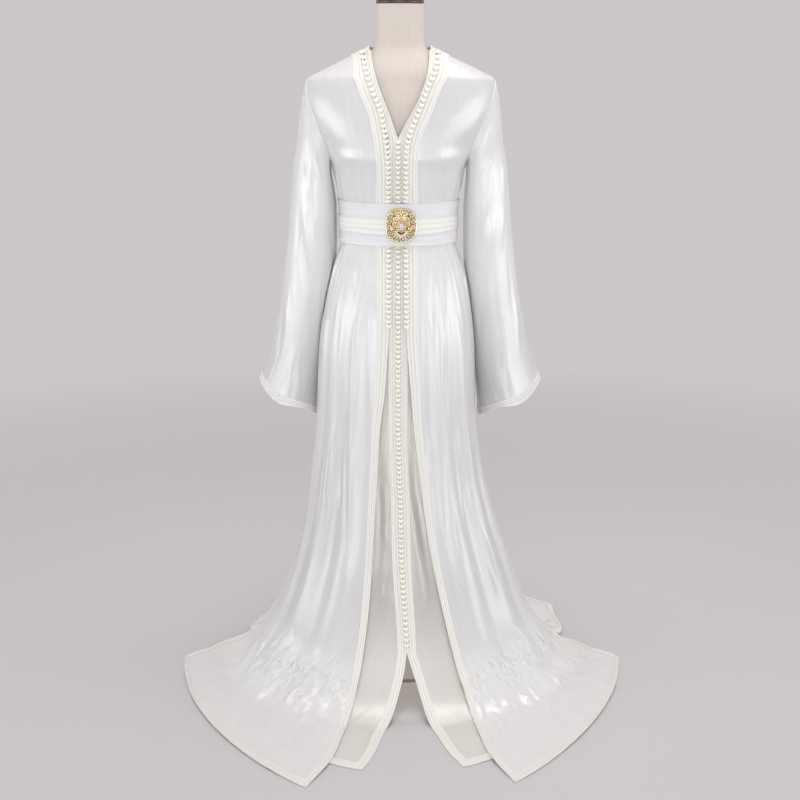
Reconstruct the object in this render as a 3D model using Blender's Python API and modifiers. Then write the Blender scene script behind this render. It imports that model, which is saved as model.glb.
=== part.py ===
"""A Moroccan kaftan in two layers, fastened over a limbless dress form on a round stand.

Metres, +Z up.  The front faces -Y and the wearer's left is +X.  The origin is the
centre of the underside of the stand's base.

Every cloth piece is cut from one surface, `shell`, whose sections are ellipses.  A
place on it is an angle round the body (0 at centre front, 90 at the left side, 180 at
centre back) and `down`, the metres of cloth below the point of the shoulder.
"""
import math

import bmesh
import bpy
from mathutils import Vector

# ------------------------------------------------------------------ driving sizes
TOP_HEIGHT = 1.380          # height of the cloth where down is 0
WALL = 0.0015               # cloth thickness
SEAM = 0.0003               # gap between pieces that touch
BRAID = 0.0012              # thickness of the flat braid sewn along the edges
BAND_WIDTH = 0.023          # braid down the front edges of the outer gown
BAND_WIDTH_LOW = 0.0150     # the same braid below the hips
PLACKET_WIDTH = 0.0195      # braid down the front of the inner gown
NECK_BAND_WIDTH = 0.012     # the same braid round its neck
TRIM_WIDTH = 0.016          # braid along hems, slits and cuffs
LAYER_GAP = 0.004           # air between the two gowns
FLOOR_DEPTH = 0.0037        # from the outer gown's top face to the inner's, on the floor
BODY_GAP = 0.004            # air between the inner gown and the form, at the chest
SHOULDER_GAP = 0.005        # more of it round the armholes
HIP_GAP = 0.008             # and from the waist down

YOKE_END = 0.250            # station of the underarm
BELT_TOP = 0.3225
BELT_MIDDLE = 0.371
BELT_END = 0.413
FLOOR_START = 1.412         # station where the outer gown lies flat
HEM = 1.600                 # station of the outer hem
INNER_FLOOR_START = 1.330
INNER_HEM = 1.527           # station of the inner hem at centre front
INNER_HEM_SIDE = 1.378      # and at the sides and back
SLIT_START = 1.110          # station where the side slits begin
OUTER_NECK = 0.009          # station of the outer gown's neck point
INNER_NECK = 0.000
SHOULDER_END = 0.072        # station of the shoulder end, at the armhole
CENTRE_CHAIN_END = 1.258    # station of the inner gown's front slit

# The outer face of the outer gown, without its folds: a row for each section.
SECTIONS = (                # down, height, half width, front depth, back depth, shift
    (-0.006, 1.386, 0.057, 0.052, 0.056, 0.000),
    (0.010, 1.370, 0.080, 0.064, 0.066, 0.000),
    (0.030, 1.350, 0.121, 0.080, 0.078, 0.001),
    (0.050, 1.330, 0.162, 0.091, 0.087, 0.002),
    (0.072, 1.308, 0.200, 0.101, 0.094, 0.002),
    (0.100, 1.280, 0.204, 0.110, 0.099, 0.001),
    (0.130, 1.250, 0.200, 0.117, 0.102, 0.000),
    (0.170, 1.210, 0.186, 0.124, 0.103, -0.001),
    (0.200, 1.180, 0.170, 0.127, 0.102, -0.002),
    (0.230, 1.150, 0.154, 0.127, 0.099, -0.002),
    (0.250, 1.130, 0.145, 0.124, 0.097, -0.003),
    (0.290, 1.090, 0.135, 0.116, 0.093, -0.003),
    (0.329, 1.051, 0.1265, 0.108, 0.090, -0.003),
    (0.371, 1.009, 0.1240, 0.106, 0.090, -0.004),
    (0.413, 0.967, 0.1245, 0.107, 0.092, -0.004),
    (0.470, 0.910, 0.143, 0.122, 0.112, -0.003),
    (0.550, 0.830, 0.160, 0.137, 0.137, -0.005),
    (0.650, 0.730, 0.171, 0.147, 0.150, -0.006),
    (0.800, 0.580, 0.176, 0.157, 0.160, -0.007),
    (0.910, 0.470, 0.188, 0.169, 0.176, -0.006),
    (1.010, 0.370, 0.206, 0.187, 0.198, -0.001),
    (1.100, 0.280, 0.230, 0.210, 0.224, 0.004),
    (1.180, 0.200, 0.256, 0.240, 0.252, 0.005),
    (1.247, 0.133, 0.284, 0.272, 0.286, 0.004),
    (1.310, 0.070, 0.325, 0.312, 0.324, 0.003),
    (1.350, 0.032, 0.356, 0.346, 0.352, 0.002),
    (1.380, 0.0140, 0.382, 0.376, 0.377, 0.001),
    (1.412, 0.0052, 0.405, 0.405, 0.400, 0.000),
    (1.540, 0.0052, 0.471, 0.599, 0.440, 0.002),
    (1.600, 0.0016, 0.502, 0.690, 0.458, 0.004),
)

# Distance of each free edge from the middle plane: (down, x on the wearer's right, x on
# the left), and the two edges of the inner gown's front slit about its own centre line.
OUTER_EDGE = (
    (0.010, 0.0790, 0.0790), (0.035, 0.0735, 0.0765), (0.063, 0.0663, 0.0680),
    (0.094, 0.0559, 0.0538), (0.134, 0.0392, 0.0385), (0.176, 0.0309, 0.0215),
    (0.206, 0.0268, 0.0145), (0.250, 0.0240, 0.0120), (0.580, 0.0240, 0.0136),
    (0.720, 0.0323, 0.0232), (0.805, 0.0431, 0.0305), (0.911, 0.0494, 0.0435),
    (1.030, 0.0565, 0.0600), (1.166, 0.0657, 0.0875), (1.283, 0.0815, 0.1179),
    (1.370, 0.1030, 0.1470), (1.500, 0.1310, 0.1740), (1.600, 0.1800, 0.2210),
)
INNER_NECK_EDGE = (
    (0.000, 0.0640, 0.0640), (0.025, 0.0595, 0.0620), (0.057, 0.0519, 0.0570),
    (0.106, 0.0351, 0.0400), (0.144, 0.0177, 0.0215), (0.186, 0.0005, 0.0005),
)
CENTRE_LINE = (
    (0.186, -0.004), (0.780, -0.004), (0.880, -0.002), (0.960, 0.001), (1.060, 0.003),
    (1.130, 0.0065), (1.180, 0.0105), (1.258, 0.0145), (1.600, 0.0145),
)
SLIT_SPREAD = (
    (1.258, 0.0002, 0.0002), (1.290, 0.0050, 0.0120), (1.335, 0.0185, 0.0290),
    (1.415, 0.0465, 0.0555), (1.478, 0.0645, 0.0800), (1.527, 0.0885, 0.1100),
)
ARMHOLE = (             # down, distance of the armhole seam from the middle plane
    (0.072, 0.2000), (0.085, 0.1985), (0.100, 0.1955), (0.130, 0.1860), (0.170, 0.1700),
    (0.200, 0.1570), (0.230, 0.1470), (0.250, 0.1450),
)
SIDE_SEAM = (           # down, angle of the front's side edge
    (0.250, 90.0), (1.110, 90.0), (1.250, 96.0), (1.370, 103.0),
    (1.412, 101.0), (1.500, 92.0), (1.600, 88.0),
)
SLIT_OPENING = (        # down, degrees from the front's edge to the back's, right and left
    (1.330, 0.0, 0.0), (1.370, 3.5, 0.5), (1.412, 22.0, 6.0), (1.500, 52.0, 30.0),
    (1.600, 67.0, 43.0),
)

# Soft folds that stand out of the outer gown's skirt, and how they spread on the floor.
FOLDS = (                   # angle at the belt, angle at the hem, half angle, start, height
    (-30.0, -36.0, 11.0, 0.46, 0.010), (-52.0, -58.0, 12.0, 0.60, 0.012),
    (-76.0, -76.0, 11.0, 0.50, 0.009), (32.0, 38.0, 11.0, 0.52, 0.010),
    (54.0, 60.0, 12.0, 0.46, 0.012), (76.0, 77.0, 10.0, 0.62, 0.009),
    (112.0, 144.0, 14.0, 0.50, 0.012), (140.0, 162.0, 14.0, 0.46, 0.013),
    (172.0, 180.0, 13.0, 0.55, 0.012), (204.0, 200.0, 13.0, 0.46, 0.013),
    (246.0, 218.0, 14.0, 0.52, 0.012),
)
FOLD_FULL_LENGTH = 0.45     # metres over which a fold grows to its height
FOLD_LEFT_ON_FLOOR = 0.35   # share of a fold's height that is left at the hem

SLEEVE = (                  # x and z of its outer line, and of its inner; half depth, centre y
    (0.2085, 1.275, 0.1420, 1.108, 0.062, 0.004),
    (0.2145, 1.232, 0.1390, 1.082, 0.064, 0.007),
    (0.2215, 1.180, 0.1380, 1.046, 0.066, 0.010),
    (0.2310, 1.125, 0.1380, 1.002, 0.068, 0.013),
    (0.2375, 1.060, 0.1385, 0.955, 0.069, 0.017),
    (0.2440, 0.990, 0.1415, 0.900, 0.070, 0.023),
    (0.2530, 0.915, 0.1500, 0.835, 0.073, 0.032),
    (0.2650, 0.840, 0.1570, 0.768, 0.078, 0.042),
    (0.2790, 0.770, 0.1630, 0.704, 0.084, 0.050),
    (0.2950, 0.706, 0.1700, 0.644, 0.090, 0.056),
    (0.3100, 0.664, 0.1770, 0.582, 0.096, 0.060),
    (0.3160, 0.648, 0.1795, 0.563, 0.098, 0.061),
)
SLEEVE_CLEAR = 0.004        # least gap between a sleeve and the gown's skirt
SLEEVE_WAVE = 0.10          # share by which a sleeve's section waves at the cuff
CUFF_WAVE = 0.012           # rise and fall of the cuff's edge
SLEEVE_HEAD_RINGS = 3       # rings over which the armhole's shape turns into the tube's
SLEEVE_HEAD_OUT = 0.008     # how far each of these moves out, and down
SLEEVE_HEAD_DROP = 0.028

FRONT_COLUMNS = 11
BACK_COLUMNS = 13
INNER_FRONT_COLUMNS = 6
INNER_BACK_COLUMNS = 12
WIDTH_STEPS = 8             # straight steps that measure a front's width
OUTER_NECK_SHARE = 0.40     # share of a back's half width that its neck edge takes
INNER_NECK_SHARE = 1.0 / 3.0
HEM_DRAWN_IN = 0.16         # share of the floor cloth that is lost midway along a front's hem
YOKE = (0.0, 0.03, 0.09, 0.18, 0.32, 0.50, 0.68, 0.85, 1.0)  # shoulder to underarm
OUTER_ROWS = (0.290, BELT_TOP, BELT_MIDDLE, BELT_END, 0.470, 0.550, 0.640, 0.750, 0.870,
              0.990, SLIT_START, 1.180, 1.240, 1.290, 1.335, 1.375, 1.412, 1.460, 1.520,
              HEM - TRIM_WIDTH, HEM)
INNER_ROWS = (0.290, BELT_TOP, BELT_MIDDLE, BELT_END, 0.460, 0.520, 0.620, 0.740, 0.860,
              0.980, 1.080, 1.160, CENTRE_CHAIN_END, 1.295, 1.330, 1.370, 1.410, 1.460,
              INNER_HEM - TRIM_WIDTH, INNER_HEM)

KNOT_PITCH = 0.0104
KNOT_WIDTH = 0.0115
KNOT_HEIGHT = 0.0045
KNOT_WAIST = 0.62           # share of width and height between two knots
KNOT_FLAT = 0.0010          # height where the belt presses a chain flat
SIDE_CHAIN_START = 0.030
SIDE_CHAIN_END = 0.584
CENTRE_CHAIN_START = 0.190
CENTRE_CHAIN_SHORT = 0.004  # it stops this far above the slit
BELT_PRESSES = (0.004, 0.016)   # metres off the belt where a chain is flat, and full again

BELT_THICKNESS = 0.0025
BELT_LIFT = 0.0019          # from the gown to the belt, over the flat braid
BELT_FRONT_LIFT = 0.0017    # more of it at centre front, over the chains
BELT_FRONT_ANGLE = 26.0
SASH_THICKNESS = 0.0018
SASH = (                    # share of its height, raise of its folds
    (0.0, 0.0000), (0.18, 0.0020), (0.36, 0.0003), (0.56, 0.0022), (0.74, 0.0003),
    (0.90, 0.0018), (1.0, 0.0000),
)
SASH_TOP = 0.3560
SASH_END_FRONT = 0.3900
SASH_END_SIDE = 0.3820

BUCKLE_CENTRE = (0.002, 0.3675)
BUCKLE_HALF_WIDTH = 0.0300
BUCKLE_HALF_HEIGHT = 0.0375
BUCKLE_CUT = (0.55, 0.75)   # pull of x and of z on its cut corners: 1 on the cut
BUCKLE_CORNER = 9.0         # power that rounds its corners: sharper as it grows
BUCKLE_RINGS = (        # share of the outline, height: from its back, round to its front
    (0.25, 0.0), (0.60, 0.0), (1.00, 0.0), (1.00, 0.0030), (0.90, 0.0052), (0.72, 0.0060),
    (0.40, 0.0082), (0.26, 0.0078),
)
BUCKLE_SIDES = 24
STONE_SIDES = 12
STONE_HALF_WIDTH = 0.0048
STONE_HALF_HEIGHT = 0.0085
STONE_RINGS = ((1.0, 0.0), (1.0, 0.001), (0.45, 0.0035))    # share of its outline, height
STONE_PINCH = 0.25          # share of its width lost toward its two points

NECK_RINGS = (          # height, half width, half depth of the form's neck
    (1.378, 0.0530, 0.0440), (1.392, 0.0505, 0.0455), (1.425, 0.0500, 0.0480),
    (1.464, 0.0500, 0.0490),
)
FORM_AROUND = 24
FORM_ROWS = (0.655, 0.600, 0.550, 0.480, 0.413, 0.371, 0.329, 0.290, 0.250, 0.210, 0.170,
             0.130, 0.100, 0.078, 0.066, 0.052, 0.038, 0.026, 0.015)
CAP_PROFILE = ((0.0, 0.036), (0.0180, 0.034), (0.0350, 0.028), (0.0460, 0.018),
               (0.0508, 0.006), (0.0500, 0.0), (0.0, 0.0))
CAP_BOTTOM = 1.4643
FORM_BOTTOM = 0.722         # height of the torso's flat underside
POLE_RADIUS = 0.016
BASE_PROFILE = ((0.0, 0.024), (0.030, 0.024), (0.120, 0.015), (0.155, 0.010),
                (0.160, 0.006), (0.160, 0.0), (0.0, 0.0))

# What each piece is made of: colour, roughness, metallic.  The steel has a powder coat.
SATIN = ((0.86, 0.86, 0.87), 0.38, 0.0)
CREAM = ((0.80, 0.77, 0.66), 0.55, 0.0)
GOLD = ((0.83, 0.62, 0.28), 0.30, 1.0)
CRYSTAL = ((0.95, 0.95, 0.97), 0.05, 0.0)
LINEN = ((0.78, 0.72, 0.63), 0.85, 0.0)
WOOD = ((0.10, 0.05, 0.03), 0.35, 0.0)
STEEL = ((0.50, 0.475, 0.45), 0.55, 0.0)


FRONT_SEAM = Vector((0.0, -SEAM / 2, 0.0))  # moves a front's shoulder edge off the back's
BACK_SEAM = Vector((0.0, SEAM / 2, 0.0))


# ------------------------------------------------------------------ tables and curves
def smooth_curve(keys, values):
    """A smooth function through the points that never overshoots them."""
    slopes = [(values[i + 1] - values[i]) / (keys[i + 1] - keys[i])
              for i in range(len(keys) - 1)]
    tangents = [slopes[0]]
    for before, after in zip(slopes, slopes[1:]):
        same_sign = before * after > 0.0
        tangents.append(2.0 * before * after / (before + after) if same_sign else 0.0)
    tangents.append(slopes[-1])

    def at(key):
        key = min(max(key, keys[0]), keys[-1])
        i = 0
        while i < len(slopes) - 1 and key > keys[i + 1]:
            i += 1
        step = keys[i + 1] - keys[i]
        t = (key - keys[i]) / step
        return ((2 * t ** 3 - 3 * t ** 2 + 1) * values[i]
                + (t ** 3 - 2 * t ** 2 + t) * step * tangents[i]
                + (3 * t ** 2 - 2 * t ** 3) * values[i + 1]
                + (t ** 3 - t ** 2) * step * tangents[i + 1])
    return at


def columns_of(table):
    """One smooth curve for each column of a table after its first."""
    keys = [row[0] for row in table]
    return [smooth_curve(keys, [row[c] for row in table]) for c in range(1, len(table[0]))]


def mix(low, high, share):
    return low + (high - low) * share


def step(value, low, high):
    """0 below low, 1 above high, and a smooth rise between."""
    t = min(max((value - low) / (high - low), 0.0), 1.0)
    return t * t * (3.0 - 2.0 * t)


HEIGHT_AT, HALF_WIDTH_AT, FRONT_AT, BACK_AT, SHIFT_AT = columns_of(SECTIONS)
OUTER_EDGE_AT = dict(zip((-1, 1), columns_of(OUTER_EDGE)))
INNER_NECK_AT = dict(zip((-1, 1), columns_of(INNER_NECK_EDGE)))
CENTRE_AT, = columns_of(CENTRE_LINE)
SPREAD_AT = dict(zip((-1, 1), columns_of(SLIT_SPREAD)))
ARMHOLE_AT, = columns_of(ARMHOLE)
FRONT_SEAM_AT, = columns_of(SIDE_SEAM)
OPENING_AT = dict(zip((-1, 1), columns_of(SLIT_OPENING)))


# ------------------------------------------------------------------ the shell surface
def section_point(angle, down):
    turn = math.radians(angle)
    depth = FRONT_AT(down) if math.cos(turn) > 0.0 else BACK_AT(down)
    return Vector((SHIFT_AT(down) + HALF_WIDTH_AT(down) * math.sin(turn),
                   -depth * math.cos(turn), HEIGHT_AT(down)))


def section_normal(angle, down):
    across = section_point(angle + 1.0, down) - section_point(angle - 1.0, down)
    along = section_point(angle, down + 0.002) - section_point(angle, down - 0.002)
    return along.cross(across).normalized()


def shell(angle, down, out):
    """The shell's point at a place, moved out along its normal."""
    return section_point(angle, down) + section_normal(angle, down) * out


def angle_of(x, down):
    """The angle in the front half where the section is at x."""
    share = (x - SHIFT_AT(down)) / HALF_WIDTH_AT(down)
    return math.degrees(math.asin(min(max(share, -1.0), 1.0)))


def fold_out(angle, down):
    """How far the outer gown's folds stand out."""
    total = 0.0
    for belt_angle, hem_angle, half_angle, start, height in FOLDS:
        middle = mix(belt_angle, hem_angle, step(down, BELT_END, HEM))
        turned = abs((angle - middle + 180.0) % 360.0 - 180.0)
        if turned < half_angle:
            grown = step(down, start, start + FOLD_FULL_LENGTH)
            left = mix(1.0, FOLD_LEFT_ON_FLOOR, step(down, 1.25, FLOOR_START))
            left *= 1.0 - step(down, FLOOR_START, HEM - TRIM_WIDTH)
            total += height * grown * left * (0.5 + 0.5 * math.cos(math.pi * turned / half_angle))
    return total


def ridge_share(angle, down, width, end):
    """1 along the top of the shoulders beside the neck, where each layer bears."""
    beside = abs(math.cos(math.radians(angle)))
    return (1.0 - step(beside, 0.0, width)) * (1.0 - step(down, end - 0.020, end))


def inner_depth(angle, down):
    """Depth of the inner gown's outer face under the shell."""
    loose = mix(WALL + LAYER_GAP, FLOOR_DEPTH, step(down, 1.28, FLOOR_START - 0.02))
    return mix(loose, WALL + 2 * SEAM, ridge_share(angle, down, 0.30, 0.050))


def form_depth(angle, down):
    loose = 2 * WALL + LAYER_GAP + mix(BODY_GAP, HIP_GAP, step(down, YOKE_END, BELT_TOP))
    loose += SHOULDER_GAP * (step(down, 0.045, 0.080) - step(down, 0.18, BELT_TOP))
    return mix(loose, 2 * WALL + 4 * SEAM, ridge_share(angle, down, 0.16, 0.028))


def outer_point(angle, down, out=0.0):
    return shell(angle, down, out + fold_out(angle, down))


def inner_point(angle, down, out=0.0):
    return shell(angle, down, out - inner_depth(angle, down))


# ------------------------------------------------------------------ solids
def material_of(name, look):
    colour, roughness, metallic = look
    material = bpy.data.materials.new(name + "_material")
    material.use_nodes = True
    shader = material.node_tree.nodes["Principled BSDF"]
    shader.inputs["Base Color"].default_value = (*colour, 1.0)
    shader.inputs["Roughness"].default_value = roughness
    shader.inputs["Metallic"].default_value = metallic
    return material


def mesh_object(name, points, faces, look):
    mesh = bpy.data.meshes.new(name)
    mesh.from_pydata([tuple(p) for p in points], [], faces)
    mesh.materials.append(material_of(name, look))
    mesh.shade_smooth()
    piece = bpy.data.objects.new(name, mesh)
    PARTS.objects.link(piece)
    return piece


def cloth(name, outer, inner, look, closed=False, keep=None):
    """A cloth wall between two grids of points, whose rows run down the garment.

    keep(row, column) says which cells the piece has, and all of them without it.
    """
    columns = len(outer[0])
    numbers, points, faces, borders = {}, [], [], {}

    def number(grid, layer, r, c):
        key = (layer, r, c)
        if key not in numbers:
            numbers[key] = len(points)
            points.append(grid[r][c])
        return numbers[key]

    for r in range(len(outer) - 1):
        for c in range(columns if closed else columns - 1):
            if keep is not None and not keep(r, c):
                continue
            after = (c + 1) % columns
            corners = ((r, c), (r + 1, c), (r + 1, after), (r, after))
            for triangle in (corners[:3], corners[2:] + corners[:1]):
                faces.append([number(outer, "outer", *corner) for corner in triangle])
                faces.append([number(inner, "inner", *corner) for corner in triangle[::-1]])
            for start, end in zip(corners, corners[1:] + corners[:1]):
                if (end, start) in borders:
                    del borders[(end, start)]
                else:
                    borders[(start, end)] = True
    for start, end in borders:
        faces.append([number(outer, "outer", *end), number(outer, "outer", *start),
                      number(inner, "inner", *start), number(inner, "inner", *end)])
    return mesh_object(name, points, faces, look)


def wall(name, places, surface, out, thickness, look, seam=None, keep=None):
    """A cloth wall whose outer face lies `out` from a surface, and its seam row moved."""
    grids = []
    for level in (out, out - thickness):
        grid = [[surface(angle, down, level) for angle, down in row] for row in places]
        if seam is not None:
            for point in grid[0]:
                point += seam
        grids.append(grid)
    cloth(name, *grids, look, keep=keep)
    return grids[0]


def loft(name, rings, look):
    """A solid through rings of equal length, closed by a flat face at each end."""
    count = len(rings[0])
    points = [p for ring in rings for p in ring]
    faces = [[count - 1 - i for i in range(count)],
             [(len(rings) - 1) * count + i for i in range(count)]]
    for r in range(len(rings) - 1):
        for i in range(count):
            j = (i + 1) % count
            faces.append([r * count + i, r * count + j, (r + 1) * count + j,
                          (r + 1) * count + i])
    piece = mesh_object(name, points, faces, look)
    point_faces_out(piece.data)
    return piece


def point_faces_out(mesh):
    work = bmesh.new()
    work.from_mesh(mesh)
    bmesh.ops.recalc_face_normals(work, faces=work.faces)
    work.to_mesh(mesh)
    work.free()


def turns_round(count):
    return [2.0 * math.pi * i / count for i in range(count)]


def turned(name, profile, look, bottom=0.0):
    """A turned solid, from a profile of (radius, height) down its outer side."""
    mesh = bpy.data.meshes.new(name)
    points = [(radius, 0.0, bottom + height) for radius, height in profile]
    mesh.from_pydata(points, [(i, i + 1) for i in range(len(points) - 1)], [])
    mesh.materials.append(material_of(name, look))
    piece = bpy.data.objects.new(name, mesh)
    PARTS.objects.link(piece)
    spin = piece.modifiers.new("spin", "SCREW")
    spin.steps = spin.render_steps = FORM_AROUND
    spin.use_merge_vertices = True
    spin.merge_threshold = 0.00005
    return piece


# ------------------------------------------------------------------ cutting the gowns
def arm_angle(down):
    """The angle of the front armhole seam, on either side."""
    return math.degrees(math.asin(min(ARMHOLE_AT(down) / HALF_WIDTH_AT(down), 1.0)))


def front_columns(row_at, first_width, last_width, count):
    """Shares across a front: its edge, its braid's border, even steps, and its side."""
    samples = [section_point(*row_at(i / WIDTH_STEPS)) for i in range(WIDTH_STEPS + 1)]
    length = sum((b - a).length for a, b in zip(samples, samples[1:]))
    first, last = first_width / length, 1.0 - last_width / length
    return [0.0] + [mix(first, last, i / (count - 2)) for i in range(count - 1)] + [1.0]


def front_places(side, edge_angle, neck, rows, hem_at, band_at, count):
    """Places (angle, down) of a front's grid.  Its columns run to +X on either side."""
    def line(edge, side_angle, down_at):
        def place(t):
            return side * mix(edge, side_angle, t), down_at(t)
        shares = front_columns(place, band_at(down_at(0.0)), TRIM_WIDTH, count)
        return [place(t) for t in shares][::side]

    places = []
    for v in YOKE:
        edge_down, arm_down = mix(neck, YOKE_END, v), mix(SHOULDER_END, YOKE_END, v)
        edge = edge_angle(edge_down) if v else 90.0
        arm = min(arm_angle(arm_down), 90.0 - seam_angle(arm_down)) if v else 90.0
        places.append(line(edge, arm, lambda t: mix(edge_down, arm_down, t)))
    for down in rows:
        seam = FRONT_SEAM_AT(down) - seam_angle(down)
        places.append(line(edge_angle(down), seam, lambda t: hem_at(t, down)))
    return places


def back_yoke_place(q, v, neck, neck_share):
    """Place of a back's yoke: q 0 at centre back and 1 at the armhole."""
    on_shoulder = max(q - neck_share, 0.0) / (1.0 - neck_share)
    top_down = mix(neck, SHOULDER_END, on_shoulder)
    round_neck = 90.0 * min(q / neck_share, 1.0)
    if v == 0.0:
        return 180.0 - round_neck, top_down
    top_x = HALF_WIDTH_AT(top_down) * math.sin(math.radians(round_neck))
    top_share = top_x / HALF_WIDTH_AT(SHOULDER_END)
    arm_down = mix(SHOULDER_END, YOKE_END, v)
    down = mix(top_down, YOKE_END, v)
    across = mix(top_share, math.sin(math.radians(90.0 * q)), v)
    if q == 1.0:
        return max(180.0 - arm_angle(arm_down), 90.0 + seam_angle(arm_down)), down
    x = ARMHOLE_AT(arm_down) * across
    return 180.0 - math.degrees(math.asin(min(x / HALF_WIDTH_AT(down), 1.0))), down


def back_places(neck, rows, hem_at, seam_at, neck_share, count):
    """Places of a back's grid, from the left side seam round to the right."""
    places = []
    shares = [2.0 * i / count - 1.0 for i in range(count + 1)]
    for v in YOKE:
        row = []
        for share in shares:
            angle, down = back_yoke_place(abs(share), v, neck, neck_share)
            row.append((180.0 + math.copysign(180.0 - angle, share), down))
        places.append(row)
    for down in rows:
        row = []
        for share in shares:
            seam = seam_at(-1 if share > 0.0 else 1, down) + seam_angle(down)
            row.append((180.0 + (180.0 - seam) * share, hem_at(down)))
        places.append(row)
    return places


def seam_angle(down):
    """Half the gap of a side seam, in degrees."""
    return math.degrees(SEAM / FRONT_AT(down))


def outer_hem_at(t, down):
    """Stations on the floor, a little short between an outer front's two corners."""
    short = 1.0 - HEM_DRAWN_IN * math.sin(math.pi * t)
    return down if down < FLOOR_START else FLOOR_START + (down - FLOOR_START) * short


def make_outer_front(side, name):
    places = front_places(side, lambda down: abs(angle_of(side * OUTER_EDGE_AT[side](down), down)),
                          OUTER_NECK, OUTER_ROWS, outer_hem_at,
                          lambda down: mix(BAND_WIDTH, BAND_WIDTH_LOW, step(down, 0.60, 0.90)),
                          FRONT_COLUMNS)
    slit_row = len(YOKE) + OUTER_ROWS.index(SLIT_START)
    last_row = len(places) - 2

    def is_trim(row, column):
        from_edge = column if side > 0 else FRONT_COLUMNS - 1 - column
        on_slit = from_edge == FRONT_COLUMNS - 1 and row >= slit_row
        return from_edge == 0 or row == last_row or on_slit
    wall("outer_front_" + name, places, outer_point, 0.0, WALL, SATIN, FRONT_SEAM)
    braid = wall("outer_braid_" + name, places, outer_point, SEAM + BRAID, BRAID, CREAM,
                 FRONT_SEAM, is_trim)
    return places, braid


def make_outer_back():
    places = back_places(OUTER_NECK, OUTER_ROWS, lambda down: down,
                         lambda side, down: FRONT_SEAM_AT(down) + OPENING_AT[side](down),
                         OUTER_NECK_SHARE, BACK_COLUMNS)
    slit_row = len(YOKE) + OUTER_ROWS.index(SLIT_START)
    last_row = len(places) - 2

    def is_hem_trim(row, column):
        return row == last_row or (column in (0, BACK_COLUMNS - 1) and row >= slit_row)

    def is_neck_trim(row, column):
        from_middle = abs(2 * column + 1 - BACK_COLUMNS)
        return row == 0 and from_middle < OUTER_NECK_SHARE * BACK_COLUMNS
    wall("outer_back", places, outer_point, 0.0, WALL, SATIN, BACK_SEAM)
    for name, keep in (("outer_braid_back", is_hem_trim), ("outer_braid_neck", is_neck_trim)):
        wall(name, places, outer_point, SEAM + BRAID, BRAID, CREAM, BACK_SEAM, keep)
    return places


def inner_edge_angle(side, down):
    centre = CENTRE_AT(down)
    if down < INNER_NECK_EDGE[-1][0]:
        x = centre * step(down, 0.10, 0.186) + side * INNER_NECK_AT[side](down)
    else:
        x = centre + side * SPREAD_AT[side](down)
    return side * angle_of(x, down)


def inner_hem_at(share, down):
    """Stations on the floor, drawn in towards the sides, where the hem is shorter."""
    if down < INNER_FLOOR_START:
        return down
    reach = mix(INNER_HEM, INNER_HEM_SIDE, share ** 1.5) - INNER_FLOOR_START
    return INNER_FLOOR_START + (down - INNER_FLOOR_START) * reach / (INNER_HEM - INNER_FLOOR_START)


def make_inner_front(side, name):
    places = front_places(side, lambda down: inner_edge_angle(side, down), INNER_NECK,
                          INNER_ROWS, inner_hem_at,
                          lambda down: mix(NECK_BAND_WIDTH, PLACKET_WIDTH, step(down, 0.15, 0.25)),
                          INNER_FRONT_COLUMNS)
    last_row = len(places) - 2

    def is_trim(row, column):
        from_edge = column if side > 0 else INNER_FRONT_COLUMNS - 1 - column
        return from_edge == 0 or row == last_row
    wall("inner_front_" + name, places, inner_point, 0.0, WALL, SATIN, FRONT_SEAM)
    braid = wall("inner_braid_" + name, places, inner_point, SEAM + BRAID, BRAID, CREAM,
                 FRONT_SEAM, is_trim)
    return places, braid


def make_inner_back():
    places = back_places(INNER_NECK, INNER_ROWS, lambda down: inner_hem_at(1.0, down),
                         lambda side, down: FRONT_SEAM_AT(down), INNER_NECK_SHARE,
                         INNER_BACK_COLUMNS)
    wall("inner_back", places, inner_point, 0.0, WALL, SATIN, BACK_SEAM)


# ------------------------------------------------------------------ sleeves
def sleeve_turns():
    """(turn, share from shoulder to underarm) round a sleeve, the front half first."""
    front = [(math.acos(1.0 - 2.0 * v), v) for v in YOKE]
    return front + [(2.0 * math.pi - turn, v) for turn, v in front[-2:0:-1]]


def armhole_point(side, turn, v, out=0.0):
    """A point of the armhole seam: turn 0 at the shoulder, pi under the arm."""
    down = mix(SHOULDER_END, YOKE_END, v)
    front = arm_angle(down) if v else 90.0
    angle = front if turn <= math.pi else 180.0 - front
    return outer_point(side * angle, down, out) + Vector((side * 2 * SEAM, 0.0, 0.0))


def sleeve_ring(side, k, row):
    """A section of a sleeve, the first ones still partly in the armhole's shape."""
    outer_x, outer_z, inner_x, inner_z, half_depth, centre_y = row
    share = k / len(SLEEVE)
    like_armhole = max(1.0 - k / SLEEVE_HEAD_RINGS, 0.0)
    ring = []
    for turn, v in sleeve_turns():
        toward_outer = 0.5 + 0.5 * math.cos(turn)
        wave = 1.0 + SLEEVE_WAVE * share * math.cos(3.0 * turn + 0.8)
        z = mix(inner_z, outer_z, toward_outer)
        z += CUFF_WAVE * share ** 6 * math.sin(2.0 * math.pi * toward_outer)
        x = mix(inner_x, outer_x, toward_outer)
        y = centre_y - half_depth * wave * math.sin(turn)
        head = armhole_point(side, turn, v)
        head += Vector((side * SLEEVE_HEAD_OUT * toward_outer, 0.0, -SLEEVE_HEAD_DROP)) * k
        ring.append(clear_of_skirt(Vector((side * x, y, z)).lerp(head, like_armhole)))
    return ring


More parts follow.
